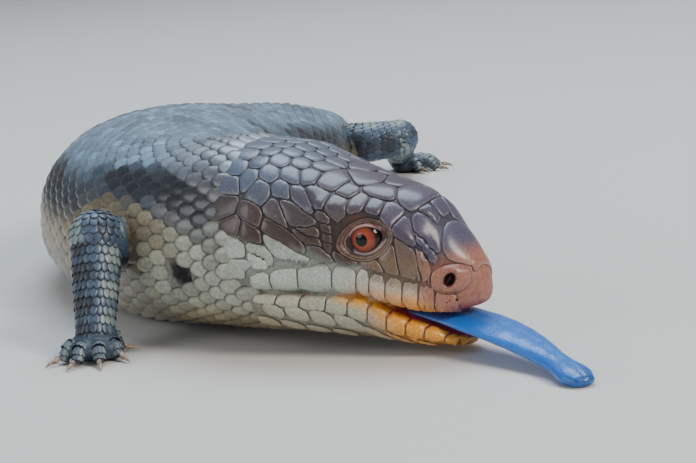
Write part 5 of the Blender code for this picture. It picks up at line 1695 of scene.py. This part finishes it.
class SKINK_OT_tongue(bpy.types.Operator):
    """Stretch the broad blue tongue to the floor"""

    bl_idname = "skink.tongue"
    bl_label = "Tongue"

    def execute(self, context):
        settings = context.scene.skink
        points = [entry[0] for entry in TONGUE]
        sizes = [entry[1:] for entry in TONGUE]
        path, (widths, depths) = curve_points(points, sizes, 90)
        sides = 48
        rings = tube_rings(path, widths, depths, sides, steps=8)
        marks = []
        shaped = []
        for index, ring in enumerate(rings):
            share = index / (len(rings) - 1)
            moved = []
            for k, point in enumerate(ring):
                turn = 2.0 * math.pi * k / sides
                groove = -0.22 * math.exp(-(math.sin(turn) / 0.22) ** 2) if math.cos(turn) > 0 else 0.0
                ripple = 0.05 * math.sin(share * 90.0) * math.cos(turn)
                moved.append(point + np.array([0.0, 0.0, groove * (1 - share * 0.4) + ripple]))
                marks.append(share)
            shaped.append(np.array(moved))
        points, faces = closed_loft(shaped)
        points[:, 2] = np.maximum(points[:, 2], 0.03)
        obj = new_mesh_object("tongue_skin", to_world(points), faces)
        turn_outward(obj)
        store_points(obj, "along", "FLOAT", marks + [0.0, 1.0])
        finish_piece(obj, self.material(settings), ["tongue"])
        return {"FINISHED"}

    def material(self, settings):
        """Wet blue flesh, darker at the root and tip, with fine buds."""
        material, tree, shader = start_material(
            "tongue_finish", Roughness=0.30, Coat_Weight=0.35, Coat_Roughness=0.15, Subsurface_Weight=0.15,
            Subsurface_Radius=(0.0005, 0.001, 0.003))
        along = node(tree, "ShaderNodeAttribute", (-900, 200), _attribute_name="along")
        ramp = node(tree, "ShaderNodeValToRGB", (-700, 200))
        colour = settings.tongue_colour
        set_ramp(ramp, (0.0, (0.10, 0.05, 0.12)), (1.0, dim(colour, 0.55)),
                 ((0.30, (0.05, 0.12, 0.40)), (0.42, dim(colour, 1.05)), (0.86, colour),
                  (0.94, dim(colour, 0.6))))
        where = node(tree, "ShaderNodeTexCoord", (-1200, -200))
        fine = node(tree, "ShaderNodeTexNoise", (-900, -100), Scale=1900.0, Detail=3.0)
        tone = node(tree, "ShaderNodeMix", (-400, 200), _data_type="RGBA", _blend_type="OVERLAY", Factor=0.22)
        buds = node(tree, "ShaderNodeTexVoronoi", (-900, -350), Scale=2300.0)
        bumps = node(tree, "ShaderNodeBump", (-400, -200), Strength=0.35, Distance=0.00025)
        join(tree, (along, "Fac", ramp, "Fac"), (where, "Object", fine, "Vector"),
             (ramp, "Color", tone, "A"), (fine, "Color", tone, "B"), (tone, "Result", shader, "Base Color"),
             (where, "Object", buds, "Vector"), (buds, "Distance", bumps, "Height"),
             (bumps, "Normal", shader, "Normal"))
        return material


class SKINK_OT_claws(bpy.types.Operator):
    """Give every toe its curved claw"""

    bl_idname = "skink.claws"
    bl_label = "Claws"

    def execute(self, context):
        material, tree, shader = start_material("claw_finish", Roughness=0.28)
        where = node(tree, "ShaderNodeTexCoord", (-900, 0))
        grain = node(tree, "ShaderNodeTexNoise", (-700, 0), Scale=900.0, Detail=3.0)
        ramp = node(tree, "ShaderNodeValToRGB", (-500, 0))
        set_ramp(ramp, (0.35, (0.16, 0.11, 0.08)), (0.65, (0.46, 0.36, 0.27)))
        bumps = node(tree, "ShaderNodeBump", (-300, -200), Strength=0.2, Distance=0.0002)
        join(tree, (where, "Object", grain, "Vector"), (grain, "Fac", ramp, "Fac"),
             (ramp, "Color", shader, "Base Color"), (grain, "Fac", bumps, "Height"),
             (bumps, "Normal", shader, "Normal"))
        for name in LIMBS:
            for i in range(5):
                self.claw("%s_claw_%d" % (name, i + 1), material)
        return {"FINISHED"}

    def claw(self, made, material):
        """Shape one claw inside its solid: round at the root, hooked down to a fine tip."""
        solid = bpy.data.objects[made]
        spots = np.array([solid.matrix_world @ vertex.co for vertex in solid.data.vertices]) / MM
        middle = spots.mean(axis=0)
        ends = np.linalg.svd(spots - middle)[2][0]
        along = (spots - middle) @ ends
        toe_side = np.ptp(spots[along < np.percentile(along, 25)], axis=0).sum()
        tip_side = np.ptp(spots[along > np.percentile(along, 75)], axis=0).sum()
        if tip_side > toe_side:
            along = -along
        shares = (along - along.min()) / np.ptp(along)
        path = []
        widths = []
        for share in np.linspace(0.0, 1.0, 6):
            near = np.exp(-((shares - share) / 0.16) ** 2)
            centre = (spots * near[:, None]).sum(axis=0) / near.sum()
            away = np.linalg.norm(spots - centre, axis=1)
            path.append(centre)
            widths.append(float((away * near).sum() / near.sum()))
        path[0] = spots[shares < 0.12].mean(axis=0)
        path[-1] = spots[np.argmax(shares)] * 0.94 + path[-2] * 0.06
        wide = min(widths[0], 1.0) * 0.86
        radii = [[wide * r] for r in (1.0, 0.90, 0.76, 0.58, 0.36, 0.07)]
        line, (sizes,) = curve_points(path, radii, 16)
        points, faces = closed_loft(tube_rings(line, sizes * 0.86, sizes, 20, steps=3))
        obj = new_mesh_object("fine_" + made, points * MM, faces)
        turn_outward(obj)
        finish_piece(obj, material, [made])


# The view in the plan's frame: place in mm, pitch and roll in degrees, focal length in pixels.
CAMERA_AT = (-28.54, -389.27, 103.47)
CAMERA_PITCH = 11.0
CAMERA_ROLL = -4.5
FOCAL_PIXELS = 1960.0
IMAGE_WIDTH = 696.0
SENSOR_WIDTH = 36.0


class SKINK_OT_stage(bpy.types.Operator):
    """Lay the floor, hang soft lights and set the camera"""

    bl_idname = "skink.stage"
    bl_label = "Stage"

    def execute(self, context):
        settings = context.scene.skink
        self.floor(settings)
        self.lights(context)
        camera = bpy.data.cameras.new("view")
        camera.sensor_width = SENSOR_WIDTH
        camera.lens = FOCAL_PIXELS / IMAGE_WIDTH * SENSOR_WIDTH
        camera.clip_start = 0.01
        camera.clip_end = 50.0
        seen = bpy.data.objects.new("view", camera)
        context.scene.collection.objects.link(seen)
        pitch = math.radians(CAMERA_PITCH)
        roll = math.radians(CAMERA_ROLL)
        ahead = Vector((0.0, math.cos(pitch), -math.sin(pitch)))
        level = Vector((1.0, 0.0, 0.0))
        up = level.cross(ahead)
        right = level * math.cos(roll) + up * math.sin(roll)
        above = up * math.cos(roll) - level * math.sin(roll)
        turn = Matrix((right, above, -ahead)).transposed()
        seen.matrix_world = Matrix.Translation(Vector(to_world(CAMERA_AT))) @ turn.to_4x4()
        context.scene.camera = seen
        return {"FINISHED"}

    def floor(self, settings):
        """A floor that curves up into a wall far behind the animal."""
        profile = [(-2.5, 0.0), (0.0, 0.0), (1.0, 0.0)]
        for t in np.linspace(0.0, 1.0, 13):
            bend = t * math.pi / 2.0
            profile.append((1.6 + 0.5 * math.sin(bend), 0.5 * (1.0 - math.cos(bend))))
        profile.append((2.1, 2.6))
        points = [(x, y, z) for y, z in profile for x in (-3.0, 3.0)]
        faces = [(2 * i, 2 * i + 1, 2 * i + 3, 2 * i + 2) for i in range(len(profile) - 1)]
        floor = new_mesh_object("floor", points, faces)
        material = start_material("floor_finish", Base_Color=(*settings.floor_colour, 1.0), Roughness=0.85)[0]
        floor.data.materials.append(material)
        return floor

    def lights(self, context):
        """A soft room, and three round lamps aimed at the animal."""
        world = bpy.data.worlds.new("soft_room")
        world.use_nodes = True
        glow = world.node_tree.nodes["Background"]
        glow.inputs["Color"].default_value = (0.80, 0.86, 0.95, 1.0)
        glow.inputs["Strength"].default_value = 0.36
        context.scene.world = world
        middle = Vector((0.0, 0.0, 0.02))
        for label, place, size, power, tint in (
                ("sky", (0.05, 0.35, 1.1), 0.9, 13.0, (0.72, 0.86, 1.0)),
                ("key", (0.75, -0.75, 0.75), 0.45, 10.0, (1.0, 0.92, 0.82)),
                ("fill", (-0.9, -0.6, 0.45), 0.7, 3.5, (0.92, 0.96, 1.0))):
            lamp = bpy.data.lights.new(label, "AREA")
            lamp.shape = "DISK"
            lamp.size = size
            lamp.energy = power
            lamp.color = tint
            obj = bpy.data.objects.new(label, lamp)
            obj.location = place
            obj.rotation_euler = (middle - Vector(place)).to_track_quat("-Z", "Y").to_euler()
            context.scene.collection.objects.link(obj)


OPERATORS = (
    SKINK_OT_skin, SKINK_OT_head_plates, SKINK_OT_body_scales, SKINK_OT_limb_scales, SKINK_OT_eyes,
    SKINK_OT_tongue, SKINK_OT_claws, SKINK_OT_stage,
)


class SKINK_PT_panel(bpy.types.Panel):
    """Lists the pieces of the animal"""

    bl_idname = "SKINK_PT_panel"
    bl_label = "Blue-tongued skink"
    bl_space_type = "VIEW_3D"
    bl_region_type = "UI"
    bl_category = "Skink"

    def draw(self, context):
        settings = context.scene.skink
        for name in ("skin_fineness", "skin_depth", "scale_rows", "scale_tilt", "tongue_colour",
                     "iris_colour", "floor_colour"):
            self.layout.prop(settings, name)
        for operator in OPERATORS:
            self.layout.operator(operator.bl_idname)


CLASSES = (SkinkSettings,) + OPERATORS + (SKINK_PT_panel,)


def register():
    for item in CLASSES:
        bpy.utils.register_class(item)
    bpy.types.Scene.skink = PointerProperty(type=SkinkSettings)


def unregister():
    del bpy.types.Scene.skink
    for item in reversed(CLASSES):
        bpy.utils.unregister_class(item)


def main():
    register()
    for operator in OPERATORS:
        area, name = operator.bl_idname.split(".")
        getattr(getattr(bpy.ops, area), name)()


if __name__ == "__main__":
    main()
